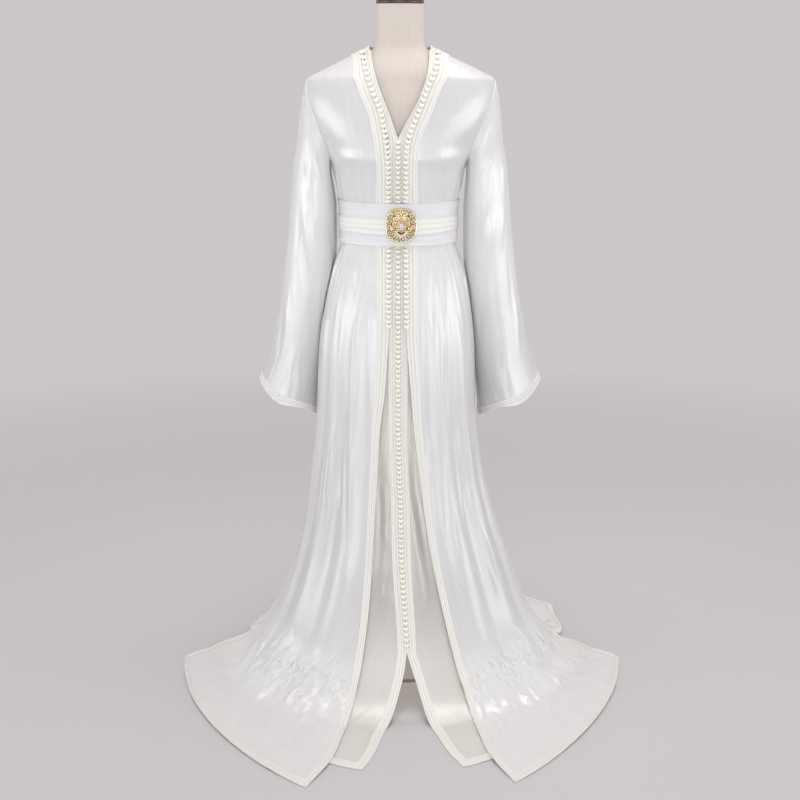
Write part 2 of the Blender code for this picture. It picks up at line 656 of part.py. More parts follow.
def clear_of_skirt(point):
    """Move a sleeve's point out of the skirt, level, to its least gap."""
    down = TOP_HEIGHT - point.z
    if down < BELT_END:
        return point
    shift = SHIFT_AT(down)
    depth = FRONT_AT(down) if point.y < 0.0 else BACK_AT(down)
    share = math.hypot((point.x - shift) / HALF_WIDTH_AT(down), point.y / depth)
    angle = math.degrees(math.atan2((point.x - shift) / HALF_WIDTH_AT(down), -point.y / depth))
    least = 1.0 + (SLEEVE_CLEAR + fold_out(angle, down)) / depth
    if share < least:
        point.x = shift + (point.x - shift) * least / share
        point.y = point.y * least / share
    return point


def make_sleeve(side, name):
    """A sleeve's tube, from the armhole seam to the cuff, and the braid round the cuff."""
    turns = sleeve_turns()[::-side]
    rings = [[armhole_point(side, *turn) for turn in turns]]
    rings += [sleeve_ring(side, k + 1, row)[::-side] for k, row in enumerate(SLEEVE)]
    inside = outward(rings, -WALL)
    for i, (turn, v) in enumerate(turns):
        like_panel = 1.0 - step(v, 0.45, 0.85)
        inside[0][i] = inside[0][i].lerp(armhole_point(side, turn, v, -WALL), like_panel)
    cloth("sleeve_" + name, rings, inside, SATIN, closed=True)
    cloth("cuff_braid_" + name, outward(rings, SEAM + BRAID)[-2:], outward(rings, SEAM)[-2:],
          CREAM, closed=True)


def outward(grid, distance):
    """A closed grid moved out along its own normals."""
    rows, columns = len(grid), len(grid[0])
    moved = []
    for r in range(rows):
        upper, lower = grid[max(r - 1, 0)], grid[min(r + 1, rows - 1)]
        line = []
        for c in range(columns):
            along = lower[c] - upper[c]
            across = grid[r][(c + 1) % columns] - grid[r][c - 1]
            line.append(grid[r][c] + along.cross(across).normalized() * distance)
        moved.append(line)
    return moved


# ------------------------------------------------------------------ knotted chains
def braid_point(side, places, grid, down, distance):
    """A point of a front's braid at a station, in from its free edge, and the normal."""
    edge, next_in = (0, 1) if side > 0 else (-1, -2)
    r = 0
    while r < len(places) - 2 and down > places[r + 1][edge][1]:
        r += 1
    before, after = places[r][edge], places[r + 1][edge]
    share = (down - before[1]) / (after[1] - before[1])
    on_edge = grid[r][edge].lerp(grid[r + 1][edge], share)
    inside = grid[r][next_in].lerp(grid[r + 1][next_in], share)
    out = section_normal(mix(before[0], after[0], share), down)
    return on_edge + (inside - on_edge).normalized() * distance, out


def make_chain(name, start, end, points_at, height_at):
    """A chain of raised knots; points_at(down) gives its base's middle and half width."""
    knots = int((end - start) / KNOT_PITCH)
    rings = []
    for k in range(2 * knots + 1):
        down = start + (end - start) * k / (2 * knots)
        full = 1.0 if k % 2 else KNOT_WAIST
        left, right, out = points_at(down)
        middle = (left + right) / 2
        rings.append((middle + (left - middle) * full, middle + out * height_at(down) * full,
                      middle + (right - middle) * full))
    loft(name, rings, CREAM)


def side_chain_height(down):
    """A chain's full height, pressed flat where the belt covers it."""
    flat, full = BELT_PRESSES
    covered = (step(down, BELT_TOP - full, BELT_TOP - flat)
               - step(down, BELT_END + flat, BELT_END + full))
    return mix(KNOT_HEIGHT, KNOT_FLAT, covered)


def make_chains(outer_fronts, inner_fronts):
    """A chain along each outer front edge, and one over the inner gown's closing."""
    half = KNOT_WIDTH / 2
    for side, name in ((-1, "right"), (1, "left")):
        def points_at(down, side=side):
            over, out = braid_point(side, *outer_fronts[side], down, -half)
            inside, out = braid_point(side, *outer_fronts[side], down, half)
            lift = SEAM * (3.0 - 2.0 * step(down, 0.05, 0.08))
            return over + out * lift, inside + out * lift, out
        make_chain("chain_" + name, SIDE_CHAIN_START, SIDE_CHAIN_END, points_at,
                   side_chain_height)

    def centre_points_at(down):
        right, out = braid_point(-1, *inner_fronts[-1], down, half)
        left, out = braid_point(1, *inner_fronts[1], down, half)
        return right + out * 2 * SEAM, left + out * 2 * SEAM, out
    make_chain("chain_centre", CENTRE_CHAIN_START, CENTRE_CHAIN_END - CENTRE_CHAIN_SHORT,
               centre_points_at, lambda down: KNOT_HEIGHT)


# ------------------------------------------------------------------ belt and buckle
def belt_out(angle):
    turned_by = abs((angle + 180.0) % 360.0 - 180.0)
    return BELT_LIFT + BELT_FRONT_LIFT * math.exp(-(turned_by / BELT_FRONT_ANGLE) ** 2)


def belt_angles(fronts, back):
    """The angles of every cloth column at the belt, right round, and one at the front."""
    row = len(YOKE) + OUTER_ROWS.index(BELT_MIDDLE)
    right = [place[0] for place in fronts[-1][0][row]]
    left = [place[0] for place in fronts[1][0][row]]
    behind = [place[0] for place in back[row]][1:-1]
    front_gap = 0.5 * (right[-1] + left[0])
    return right + [front_gap] + left + behind


def make_belt(angles):
    stations = (BELT_TOP, BELT_MIDDLE, BELT_END)
    lining, grid = ([[shell(angle, down, belt_out(angle) + out) for angle in angles]
                     for down in stations] for out in (0.0, BELT_THICKNESS))
    cloth("belt_band", grid, lining, SATIN, closed=True)
    sash, sash_lining = [], []
    for share, raised in SASH:
        line, lining_line = [], []
        for i, angle in enumerate(angles):
            toward_front = max(math.cos(math.radians(angle)), 0.0)
            down = mix(SASH_TOP, mix(SASH_END_SIDE, SASH_END_FRONT, toward_front), share)
            r = 0 if down < BELT_MIDDLE else 1
            on_belt_at = (down - stations[r]) / (stations[r + 1] - stations[r])
            below = grid[r][i].lerp(grid[r + 1][i], on_belt_at)
            out = section_normal(angle, down)
            lining_line.append(below + out * 2 * SEAM)
            line.append(below + out * (2 * SEAM + SASH_THICKNESS + raised))
        sash.append(line)
        sash_lining.append(lining_line)
    cloth("belt_sash", sash, sash_lining, CREAM, closed=True)


def buckle_outline(turn):
    """The buckle's outline: an upright rounded rectangle with its corners cut."""
    x, z = math.sin(turn), math.cos(turn)
    cut = BUCKLE_CUT[0] * abs(x) + BUCKLE_CUT[1] * abs(z)
    total = sum(pull ** BUCKLE_CORNER for pull in (abs(x), abs(z), cut))
    size = total ** (-1.0 / BUCKLE_CORNER)
    return x * size * BUCKLE_HALF_WIDTH, z * size * BUCKLE_HALF_HEIGHT


def on_belt(x, down, out):
    return shell(angle_of(x, down), down, out)


def make_buckle():
    seat = (belt_out(0.0) + BELT_THICKNESS + 3 * SEAM + SASH_THICKNESS
            + max(raised for _, raised in SASH))
    centre_x, centre_down = BUCKLE_CENTRE
    rings = []
    for scale, height in BUCKLE_RINGS:
        ring = []
        for turn in turns_round(BUCKLE_SIDES):
            x, z = buckle_outline(turn)
            ring.append(on_belt(centre_x + x * scale, centre_down - z * scale, seat + height))
        rings.append(ring)
    loft("buckle", rings, GOLD)
    stone_seat = seat + BUCKLE_RINGS[-1][1] + SEAM
    stone = []
    for scale, height in STONE_RINGS:
        ring = []
        for turn in turns_round(STONE_SIDES):
            pinch = 1.0 - STONE_PINCH * abs(math.cos(turn))
            ring.append(on_belt(centre_x + STONE_HALF_WIDTH * scale * pinch * math.sin(turn),
                                centre_down - STONE_HALF_HEIGHT * scale * math.cos(turn),
                                stone_seat + height))
        stone.append(ring)
    loft("buckle_stone", stone, CRYSTAL)


# ------------------------------------------------------------------ the form and stand
def make_form():
    rings = []
    for down in FORM_ROWS:
        angles = [math.degrees(turn) for turn in turns_round(FORM_AROUND)]
        rings.append([shell(angle, down, -form_depth(angle, down)) for angle in angles])
    for point in rings[0]:
        point.z = FORM_BOTTOM
    for height, half_width, half_depth in NECK_RINGS:
        rings.append([Vector((half_width * math.sin(turn), -half_depth * math.cos(turn), height))
                      for turn in turns_round(FORM_AROUND)])
    loft("form_torso", rings, LINEN)


def make_stand():
    turned("form_neck_cap", CAP_PROFILE, WOOD, CAP_BOTTOM)
    turned("stand_base", BASE_PROFILE, STEEL)
    pole_bottom = BASE_PROFILE[0][1] + SEAM
    pole_top = FORM_BOTTOM - SEAM
    turned("stand_pole", ((0.0, pole_top - pole_bottom), (POLE_RADIUS, pole_top - pole_bottom),
                          (POLE_RADIUS, 0.0), (0.0, 0.0)), STEEL, pole_bottom)


def main():
    for old in list(bpy.data.objects):
        bpy.data.objects.remove(old)
    bpy.context.scene.collection.children.link(PARTS)
    fronts = {side: make_outer_front(side, name) for side, name in ((-1, "right"), (1, "left"))}
    back = make_outer_back()
    inner_fronts = {}
    for side, name in ((-1, "right"), (1, "left")):
        inner_fronts[side] = make_inner_front(side, name)
        make_sleeve(side, name)
    make_inner_back()
    make_chains(fronts, inner_fronts)
    make_belt(belt_angles(fronts, back))
    make_buckle()
    make_form()
    make_stand()


PARTS = bpy.data.collections.new("moroccan_kaftan")
main()
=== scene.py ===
"""The looks of a Moroccan kaftan in two layers, fastened over a limbless dress form.

Metres, +Z up.  The front faces -Y and the wearer's left is +X.

Every cloth piece lies on one surface, `shell`, whose sections are ellipses.  A place on
it is an angle round the body (0 at centre front, 90 at the left side, 180 at centre back)
and `down`, the metres of cloth below the point of the shoulder.  Folds and creases are
heights above that surface, so a panel, its braid and its knots all bend together.
"""
import math

import bpy
import numpy as np
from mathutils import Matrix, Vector


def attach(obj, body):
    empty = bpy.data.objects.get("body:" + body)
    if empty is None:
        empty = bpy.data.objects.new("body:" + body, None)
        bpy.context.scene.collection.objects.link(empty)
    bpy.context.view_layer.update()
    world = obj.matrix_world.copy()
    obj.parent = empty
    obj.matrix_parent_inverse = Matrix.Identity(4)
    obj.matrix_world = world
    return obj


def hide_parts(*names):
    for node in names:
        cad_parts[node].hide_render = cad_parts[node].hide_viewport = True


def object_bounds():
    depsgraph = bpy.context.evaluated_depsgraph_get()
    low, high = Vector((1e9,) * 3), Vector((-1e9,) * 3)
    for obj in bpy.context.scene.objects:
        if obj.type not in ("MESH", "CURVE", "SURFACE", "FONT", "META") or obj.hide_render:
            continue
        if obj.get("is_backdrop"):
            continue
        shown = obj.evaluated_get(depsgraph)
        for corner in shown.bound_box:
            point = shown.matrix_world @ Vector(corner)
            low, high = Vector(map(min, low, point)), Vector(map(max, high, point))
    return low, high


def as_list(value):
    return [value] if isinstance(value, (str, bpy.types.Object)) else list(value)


# ------------------------------------------------------------------ driving sizes
TOP_HEIGHT = 1.380          # height of the cloth where down is 0
WALL = 0.0012               # cloth thickness
SEAM = 0.0003               # gap between pieces that touch
BRAID = 0.0011              # thickness of the flat braid, between its cords
CORD = 0.0008               # how far its cords stand out of it
BAND_WIDTH = 0.023          # braid down the front edges of the outer gown
BAND_WIDTH_LOW = 0.0150     # the same braid below the hips
PLACKET_WIDTH = 0.0195      # braid down the front of the inner gown
NECK_BAND_WIDTH = 0.016     # the same braid round its neck
TRIM_WIDTH = 0.016          # braid along slits; along hems in stations, so it varies there
LAYER_GAP = 0.004           # air between the two gowns
FLOOR_DEPTH = 0.0037        # from the outer gown's top face to the inner's, on the floor
BODY_GAP = 0.004            # air between the inner gown and the form, at the chest
SHOULDER_GAP = 0.005        # more of it round the armholes
HIP_GAP = 0.008             # and from the waist down
CLOTH = 0.0015              # thickness that each gown takes in the stack of layers

YOKE_END = 0.250            # station of the underarm
BELT_TOP = 0.3225
BELT_END = 0.413
FLOOR_START = 1.412         # station where the outer gown lies flat
HEM = 1.600                 # station of the outer hem
INNER_FLOOR_START = 1.330
INNER_HEM = 1.527           # station of the inner hem at centre front
INNER_HEM_SIDE = 1.378      # and at the sides and back
SLIT_START = 1.110          # station where the side slits begin
OUTER_NECK = 0.009          # station of the outer gown's neck point
INNER_NECK = 0.000
SHOULDER_END = 0.072        # station of the shoulder end, at the armhole
NECK_CORNER = 0.03          # share of a front's yoke where its neck edge leaves the shoulder
CENTRE_CHAIN_END = 1.258    # station of the inner gown's front slit

# The outer face of the outer gown, without its folds: a row for each section.
SECTIONS = (                # down, height, half width, front depth, back depth, shift
    (-0.006, 1.386, 0.057, 0.052, 0.056, 0.000),
    (0.010, 1.370, 0.080, 0.064, 0.066, 0.000),
    (0.030, 1.350, 0.121, 0.080, 0.078, 0.001),
    (0.050, 1.330, 0.162, 0.091, 0.087, 0.002),
    (0.072, 1.308, 0.200, 0.101, 0.094, 0.002),
    (0.100, 1.280, 0.204, 0.110, 0.099, 0.001),
    (0.130, 1.250, 0.200, 0.117, 0.102, 0.000),
    (0.170, 1.210, 0.186, 0.124, 0.103, -0.001),
    (0.200, 1.180, 0.170, 0.127, 0.102, -0.002),
    (0.230, 1.150, 0.154, 0.127, 0.099, -0.002),
    (0.250, 1.130, 0.145, 0.124, 0.097, -0.003),
    (0.290, 1.090, 0.135, 0.116, 0.093, -0.003),
    (0.329, 1.051, 0.1265, 0.108, 0.090, -0.003),
    (0.371, 1.009, 0.1240, 0.106, 0.090, -0.004),
    (0.413, 0.967, 0.1245, 0.107, 0.092, -0.004),
    (0.470, 0.910, 0.143, 0.122, 0.112, -0.003),
    (0.550, 0.830, 0.160, 0.137, 0.137, -0.005),
    (0.650, 0.730, 0.171, 0.147, 0.150, -0.006),
    (0.800, 0.580, 0.176, 0.157, 0.160, -0.007),
    (0.910, 0.470, 0.188, 0.169, 0.176, -0.006),
    (1.010, 0.370, 0.206, 0.187, 0.198, -0.001),
    (1.100, 0.280, 0.230, 0.210, 0.224, 0.004),
    (1.180, 0.200, 0.256, 0.240, 0.252, 0.005),
    (1.247, 0.133, 0.284, 0.272, 0.286, 0.004),
    (1.310, 0.070, 0.325, 0.312, 0.324, 0.003),
    (1.350, 0.032, 0.356, 0.346, 0.352, 0.002),
    (1.380, 0.0140, 0.382, 0.376, 0.377, 0.001),
    (1.412, 0.0052, 0.405, 0.405, 0.400, 0.000),
    (1.540, 0.0052, 0.471, 0.599, 0.440, 0.002),
    (1.600, 0.0016, 0.502, 0.690, 0.458, 0.004),
)

# Distance of each free edge from the middle plane: (down, x on the wearer's right, x on
# the left), and the two edges of the inner gown's front slit about its own centre line.
OUTER_EDGE = (
    (0.010, 0.0790, 0.0790), (0.035, 0.0735, 0.0765), (0.063, 0.0663, 0.0680),
    (0.094, 0.0559, 0.0538), (0.134, 0.0392, 0.0385), (0.176, 0.0309, 0.0215),
    (0.206, 0.0268, 0.0145), (0.250, 0.0240, 0.0120), (0.580, 0.0240, 0.0136),
    (0.720, 0.0323, 0.0232), (0.805, 0.0431, 0.0305), (0.911, 0.0494, 0.0435),
    (1.030, 0.0565, 0.0600), (1.166, 0.0657, 0.0875), (1.283, 0.0815, 0.1179),
    (1.370, 0.1030, 0.1470), (1.500, 0.1310, 0.1740), (1.600, 0.1800, 0.2210),
)
INNER_NECK_EDGE = (
    (0.000, 0.0640, 0.0640), (0.025, 0.0595, 0.0620), (0.057, 0.0519, 0.0570),
    (0.106, 0.0351, 0.0400), (0.144, 0.0177, 0.0215), (0.186, 0.0005, 0.0005),
)
NECK_APEX = 0.186           # station where the inner gown's neck edges meet
CENTRE_LINE = (
    (0.186, -0.004), (0.780, -0.004), (0.880, -0.002), (0.960, 0.001), (1.060, 0.003),
    (1.130, 0.0065), (1.180, 0.0105), (1.258, 0.0145), (1.600, 0.0145),
)
SLIT_SPREAD = (
    (1.258, 0.0002, 0.0002), (1.290, 0.0050, 0.0120), (1.335, 0.0185, 0.0290),
    (1.415, 0.0465, 0.0555), (1.478, 0.0645, 0.0800), (1.527, 0.0885, 0.1100),
)
ARMHOLE = (                 # down, distance of the armhole seam from the middle plane
    (0.072, 0.2000), (0.085, 0.1985), (0.100, 0.1955), (0.130, 0.1860), (0.170, 0.1700),
    (0.200, 0.1570), (0.230, 0.1470), (0.250, 0.1450),
)
SIDE_SEAM = (               # down, angle of the front's side edge
    (0.250, 90.0), (1.110, 90.0), (1.250, 96.0), (1.370, 103.0),
    (1.412, 101.0), (1.500, 92.0), (1.600, 88.0),
)
SLIT_OPENING = (            # down, degrees from the front's edge to the back's, right and left
    (1.330, 0.0, 0.0), (1.370, 3.5, 0.5), (1.412, 22.0, 6.0), (1.500, 52.0, 30.0),
    (1.600, 67.0, 43.0),
)

# Broad folds that stand out of the outer gown's skirt, and how they spread on the floor.
FOLDS = (                   # angle at the belt, angle at the hem, half angle, start, height
    (-30.0, -36.0, 11.0, 0.46, 0.010), (-52.0, -58.0, 12.0, 0.60, 0.012),
    (-76.0, -76.0, 11.0, 0.50, 0.009), (32.0, 38.0, 11.0, 0.52, 0.010),
    (54.0, 60.0, 12.0, 0.46, 0.012), (76.0, 77.0, 10.0, 0.62, 0.009),
    (112.0, 144.0, 14.0, 0.50, 0.012), (140.0, 162.0, 14.0, 0.46, 0.013),
    (172.0, 180.0, 13.0, 0.55, 0.012), (204.0, 200.0, 13.0, 0.46, 0.013),
    (246.0, 218.0, 14.0, 0.52, 0.012),
)
FOLD_FULL_LENGTH = 0.45     # metres over which a fold grows to its height
FOLD_LEFT_ON_FLOOR = 0.35   # share of a fold's height that is left at the hem

SLEEVE = (                  # x and z of its outer line, and of its inner; half depth, centre y
    (0.2085, 1.275, 0.1420, 1.108, 0.062, 0.004),
    (0.2145, 1.232, 0.1390, 1.082, 0.064, 0.007),
    (0.2215, 1.180, 0.1380, 1.046, 0.066, 0.010),
    (0.2310, 1.125, 0.1380, 1.002, 0.068, 0.013),
    (0.2375, 1.060, 0.1385, 0.955, 0.069, 0.017),
    (0.2440, 0.990, 0.1415, 0.900, 0.070, 0.023),
    (0.2530, 0.915, 0.1500, 0.835, 0.073, 0.032),
    (0.2650, 0.840, 0.1570, 0.768, 0.078, 0.042),
    (0.2790, 0.770, 0.1630, 0.704, 0.084, 0.050),
    (0.2950, 0.706, 0.1700, 0.644, 0.090, 0.056),
    (0.3100, 0.664, 0.1770, 0.582, 0.096, 0.060),
    (0.3160, 0.648, 0.1795, 0.563, 0.098, 0.061),
)
ARMHOLE_CORD = 0.0016       # radius of the cord over the armhole seam
ARMHOLE_CORD_OUT = 0.0008   # how far its middle is out of the cloth
LEAST_RADIUS = 0.08         # least distance of a creased place from the middle of the body
SLEEVE_CLEAR = 0.0012       # least gap between a sleeve and the gown's skirt
SLEEVE_WAVE = 0.10          # share by which a sleeve's section waves at the cuff
CUFF_WAVE = 0.012           # rise and fall of the cuff's edge
SLEEVE_HEAD_RINGS = 3       # rings over which the armhole's shape turns into the tube's
SLEEVE_HEAD_OUT = 0.008     # how far each of these moves out, and down
SLEEVE_HEAD_DROP = 0.028

KNOT_PITCH = 0.0104
KNOT_WIDTH = 0.0118
KNOT_HEIGHT = 0.0052
KNOT_FLAT = 0.0010          # the same where the belt presses a chain flat
KNOT_STRAND = (0.0056, 0.0031)  # half length and half width of each of its two strands
SIDE_CHAIN_START = 0.012
SIDE_CHAIN_END = 0.584
CENTRE_CHAIN_START = 0.190

BELT_THICKNESS = 0.0025
BELT_LIFT = 0.0019          # from the gown to the belt, over the flat braid
BELT_FRONT_LIFT = 0.0017    # more of it at centre front, over the chains
BELT_FRONT_ANGLE = 26.0
RIB_PITCH = 0.0024          # the belt's fine ribs
RIB_HEIGHT = 0.00035
SASH_BASE = 0.0006          # thickness of the sash under its pleats
SASH_TOP = 0.3560
SASH_END_FRONT = 0.3900
SASH_END_SIDE = 0.3820
SASH_PLEATS = np.array((    # share of its width where each pleat starts and ends, height
    (0.00, 0.36, 0.0016), (0.30, 0.70, 0.0022), (0.64, 1.00, 0.0018),
))

BUCKLE_CENTRE = (0.002, 0.3675)
BUCKLE_HALF_WIDTH = 0.0300
BUCKLE_HALF_HEIGHT = 0.0375
BUCKLE_CUT = (0.55, 0.75)   # pull of x and of z on its cut corners: 1 on the cut
BUCKLE_CORNER = 9.0         # power that rounds its corners: sharper as it grows
BUCKLE_PLATE = (            # share of the outline, height of the plate there
    (0.00, 0.0062), (0.26, 0.0060), (0.50, 0.0054), (0.72, 0.0044), (0.84, 0.0036),
    (0.90, 0.0033), (0.94, 0.0036), (0.97, 0.0034), (1.00, 0.0024),
)
BUCKLE_RIMS = ((0.965, 0.00090),)  # share of the outline, radius
BUCKLE_SCROLLS = (          # millimetres: centre x and z, radius; degrees: start, sweep
    (7.5, 26.0, 5.2, -150.0, 500.0), (19.5, 21.5, 5.4, 170.0, -520.0),
    (10.0, 15.0, 4.8, -40.0, 480.0), (22.0, 9.0, 5.2, 100.0, -500.0),
    (14.0, 4.0, 4.6, 60.0, 460.0), (4.0, 17.5, 3.2, -100.0, 400.0),
    (23.5, -4.0, 4.8, 60.0, 460.0), (15.5, -7.5, 3.6, -60.0, 420.0),
)
BUCKLE_LEAVES = (           # millimetres: start x and z; degrees: heading; length, half width
    (7.0, -12.5, 104.0, 19.0, 2.6), (6.0, -15.5, 120.0, 19.0, 2.7),
    (4.6, -18.0, 137.0, 18.0, 2.8), (2.6, -19.5, 158.0, 15.5, 2.9),
    (0.0, -20.0, 180.0, 14.5, 2.8), (0.0, 22.5, 0.0, 12.5, 2.8),
)
BUCKLE_BEADS = (            # millimetres: x, z, radius
    (26.5, 16.0, 1.3), (27.0, 2.5, 1.3), (27.0, -11.0, 1.3), (22.0, -23.0, 1.2),
    (13.5, 31.0, 1.2), (11.0, -31.0, 1.2), (9.2, 8.5, 1.4), (14.8, 11.0, 1.2),
)
# Dark spots of painted shade on the buckle's plate, where a pierced filigree would show holes.
BUCKLE_HOLES = (            # millimetres: x, z, radius
    (13.6, 20.8, 1.9), (15.6, 13.0, 1.5), (26.0, 12.8, 1.6), (18.5, 3.5, 1.7),
    (19.0, -9.5, 1.6), (9.0, 1.5, 1.7), (11.0, -6.0, 1.5), (3.2, -14.2, 2.3),
    (0.0, -16.2, 2.0), (1.6, 32.0, 1.2), (25.5, -16.0, 1.5),
)
BUCKLE_BEZELS = (           # half width, half height, radius of its wire
    (0.0053, 0.0090, 0.00075), (0.0082, 0.0132, 0.00065),
)
SCROLL_WIRE = (0.00130, 0.00090)    # a scroll's radius at its start and its end
LEAF_WIRE = 0.00100         # radius of a leaf's wire
WIRE_LIFT = 0.0009          # from the plate to the middle of scrolls and leaves
BEZEL_LIFT = 0.0006         # and of the bezels
STONE_CENTRE = -0.001       # height of the stone's centre over the buckle's
STONE_HALF_WIDTH = 0.0042
STONE_HALF_HEIGHT = 0.0076

NECK_RINGS = (              # height, half width, half depth of the form's neck
    (1.3665, 0.0640, 0.0520), (1.378, 0.0530, 0.0440), (1.392, 0.0505, 0.0455),
    (1.425, 0.0500, 0.0480), (1.464, 0.0500, 0.0490),
)
FORM_LOW = 0.655            # stations of the torso's underside, and of its neck
FORM_NECK = 0.015
FORM_BOTTOM = 0.722         # height of the torso's flat underside
CAP_BOTTOM = 1.4643
CAP_PROFILE = (             # radius, height above its bottom, from the top down
    (0.0, 0.0360), (0.0100, 0.0354), (0.0180, 0.0338), (0.0270, 0.0318), (0.0350, 0.0282),
    (0.0412, 0.0234), (0.0460, 0.0180), (0.0494, 0.0118), (0.0506, 0.0068), (0.0508, 0.0040),
    (0.0506, 0.0012), (0.0500, 0.0), (0.0, 0.0),
)
POLE_RADIUS = 0.016
BASE_PROFILE = (            # radius, height
    (0.024, 0.0240), (0.030, 0.0236), (0.060, 0.0212), (0.090, 0.0182),
    (0.120, 0.0150), (0.150, 0.0108), (0.156, 0.0092), (0.1595, 0.0066), (0.160, 0.0040),
    (0.1597, 0.0006), (0.1590, 0.0),
)

CAMERA_PLACE = (0.0, -3.2, 1.38)
CAMERA_PITCH = 13.56        # degrees down from level
CAMERA_LENS = 66.24         # millimetres, on a sensor 36 wide
BACKDROP_COLOUR = (0.604, 0.571, 0.578)
FLOOR_COLOUR = (0.580, 0.573, 0.585)
FLOOR_FADE = 3.4            # radius where the floor has faded away
COOL_WHITE = (0.92, 0.97, 1.0)
SOFT_WHITE = (1.0, 0.97, 0.93)
WARM_WHITE = (1.0, 0.94, 0.86)
LIGHTS = (      # name, place, target, width, height, watts, degrees it spreads over, colour
    ("front_strip", (0.0, -4.2, 0.82), (0.0, 0.0, 1.35), 4.8, 0.36, 11.0, 75.0, COOL_WHITE),
    ("right_strip", (-3.8, -1.25, 0.86), (0.0, 0.0, 1.40), 4.2, 0.55, 8.4, 75.0, COOL_WHITE),
    ("left_strip", (3.8, -1.25, 0.86), (0.0, 0.0, 1.40), 4.2, 0.55, 8.4, 75.0, COOL_WHITE),
    ("key_softbox", (-0.4, -3.0, 2.6), (0.0, 0.0, 1.0), 2.8, 0.9, 8.0, 180.0, COOL_WHITE),
    ("top_softbox", (0.3, 0.0, 3.8), (0.0, -0.3, 0.2), 2.2, 2.6, 57.0, 180.0, SOFT_WHITE),
    ("skirt_fill", (0.0, 0.05, 0.62), (0.0, -0.05, 0.0), 0.20, 0.12, 1.8, 180.0, WARM_WHITE),
)

# What each cloth piece was cut as: width, length, area, how it is held, what it rests on.
SHEETS = {
    "gown_front_right": (0.71, 1.79, 0.48, "hung", ["form_torso", "under_gown_front_right"]),
    "gown_front_left": (0.68, 1.79, 0.46, "hung", ["form_torso", "under_gown_front_left"]),
    "gown_back": (0.98, 1.76, 0.89, "hung", ["form_torso", "under_gown_back"]),
    "under_gown_front_right": (0.71, 1.71, 0.47, "hung", ["form_torso"]),
    "under_gown_front_left": (0.67, 1.71, 0.45, "hung", ["form_torso"]),
    "under_gown_back": (1.18, 1.49, 0.78, "hung", ["form_torso"]),
    "gown_sleeve_right": (0.57, 0.68, 0.255, "hung", ["gown_front_right"]),
    "gown_sleeve_left": (0.57, 0.68, 0.255, "hung", ["gown_front_left"]),
    "belt_of_cloth": (0.76, 0.092, 0.0695, "stretched", ["gown_back"]),
    "belt_pleats": (0.76, 0.036, 0.0240, "folded", ["belt_of_cloth"]),
}


# ------------------------------------------------------------------ tables and curves
def curve(keys, values):
    """A smooth function of an array through the points, that never overshoots them."""
    keys, values = np.asarray(keys, float), np.asarray(values, float)
    steps = np.diff(keys)
    slopes = np.diff(values) / steps
    product = slopes[:-1] * slopes[1:]
    total = np.where(product > 0.0, slopes[:-1] + slopes[1:], 1.0)
    inner = np.where(product > 0.0, 2.0 * product / total, 0.0)
    tangents = np.concatenate((slopes[:1], inner, slopes[-1:]))

    def at(key):
        key = np.clip(key, keys[0], keys[-1])
        i = np.clip(np.searchsorted(keys, key, side="right") - 1, 0, len(steps) - 1)
        t = (key - keys[i]) / steps[i]
        return ((2 * t ** 3 - 3 * t ** 2 + 1) * values[i]
                + (t ** 3 - 2 * t ** 2 + t) * steps[i] * tangents[i]
                + (3 * t ** 2 - 2 * t ** 3) * values[i + 1]
                + (t ** 3 - t ** 2) * steps[i] * tangents[i + 1])
    return at


def columns_of(table):
    """One smooth curve for each column of a table after its first."""
    rows = np.asarray(table, float)
    return [curve(rows[:, 0], rows[:, c]) for c in range(1, rows.shape[1])]


def mix(low, high, share):
    return low + (high - low) * share


def step(value, low, high):
    """0 below low, 1 above high, and a smooth rise between."""
    t = np.clip((value - low) / (high - low), 0.0, 1.0)
    return t * t * (3.0 - 2.0 * t)


HEIGHT_AT, HALF_WIDTH_AT, FRONT_AT, BACK_AT, SHIFT_AT = columns_of(SECTIONS)
OUTER_EDGE_AT = dict(zip((-1, 1), columns_of(OUTER_EDGE)))
INNER_NECK_AT = dict(zip((-1, 1), columns_of(INNER_NECK_EDGE)))
CENTRE_AT, = columns_of(CENTRE_LINE)
SPREAD_AT = dict(zip((-1, 1), columns_of(SLIT_SPREAD)))
ARMHOLE_AT, = columns_of(ARMHOLE)
SIDE_SEAM_AT, = columns_of(SIDE_SEAM)
OPENING_AT = dict(zip((-1, 1), columns_of(SLIT_OPENING)))


# ------------------------------------------------------------------ the shell surface
def section(angle, down):
    angle, down = np.broadcast_arrays(np.asarray(angle, float), np.asarray(down, float))
    turn = np.radians(angle)
    depth = np.where(np.cos(turn) > 0.0, FRONT_AT(down), BACK_AT(down))
    return np.stack((SHIFT_AT(down) + HALF_WIDTH_AT(down) * np.sin(turn),
                     -depth * np.cos(turn), HEIGHT_AT(down)), axis=-1)


def unit(vectors):
    length = np.linalg.norm(vectors, axis=-1, keepdims=True)
    return vectors / np.maximum(length, 1e-12)


def normal(angle, down):
    across = section(angle + 1.0, down) - section(angle - 1.0, down)
    along = section(angle, down + 0.002) - section(angle, down - 0.002)
    return unit(np.cross(along, across))


def shell(angle, down, out):
    """The shell's points at some places, moved out along its normals."""
    angle, down = np.asarray(angle, float), np.asarray(down, float)
    out = np.broadcast_to(out, np.broadcast(angle, down).shape)
    return section(angle, down) + normal(angle, down) * out[..., None]


def angle_of(x, down):
    """The angle in the front half where the section is at x."""
    share = (x - SHIFT_AT(down)) / HALF_WIDTH_AT(down)
    return np.degrees(np.arcsin(np.clip(share, -1.0, 1.0)))


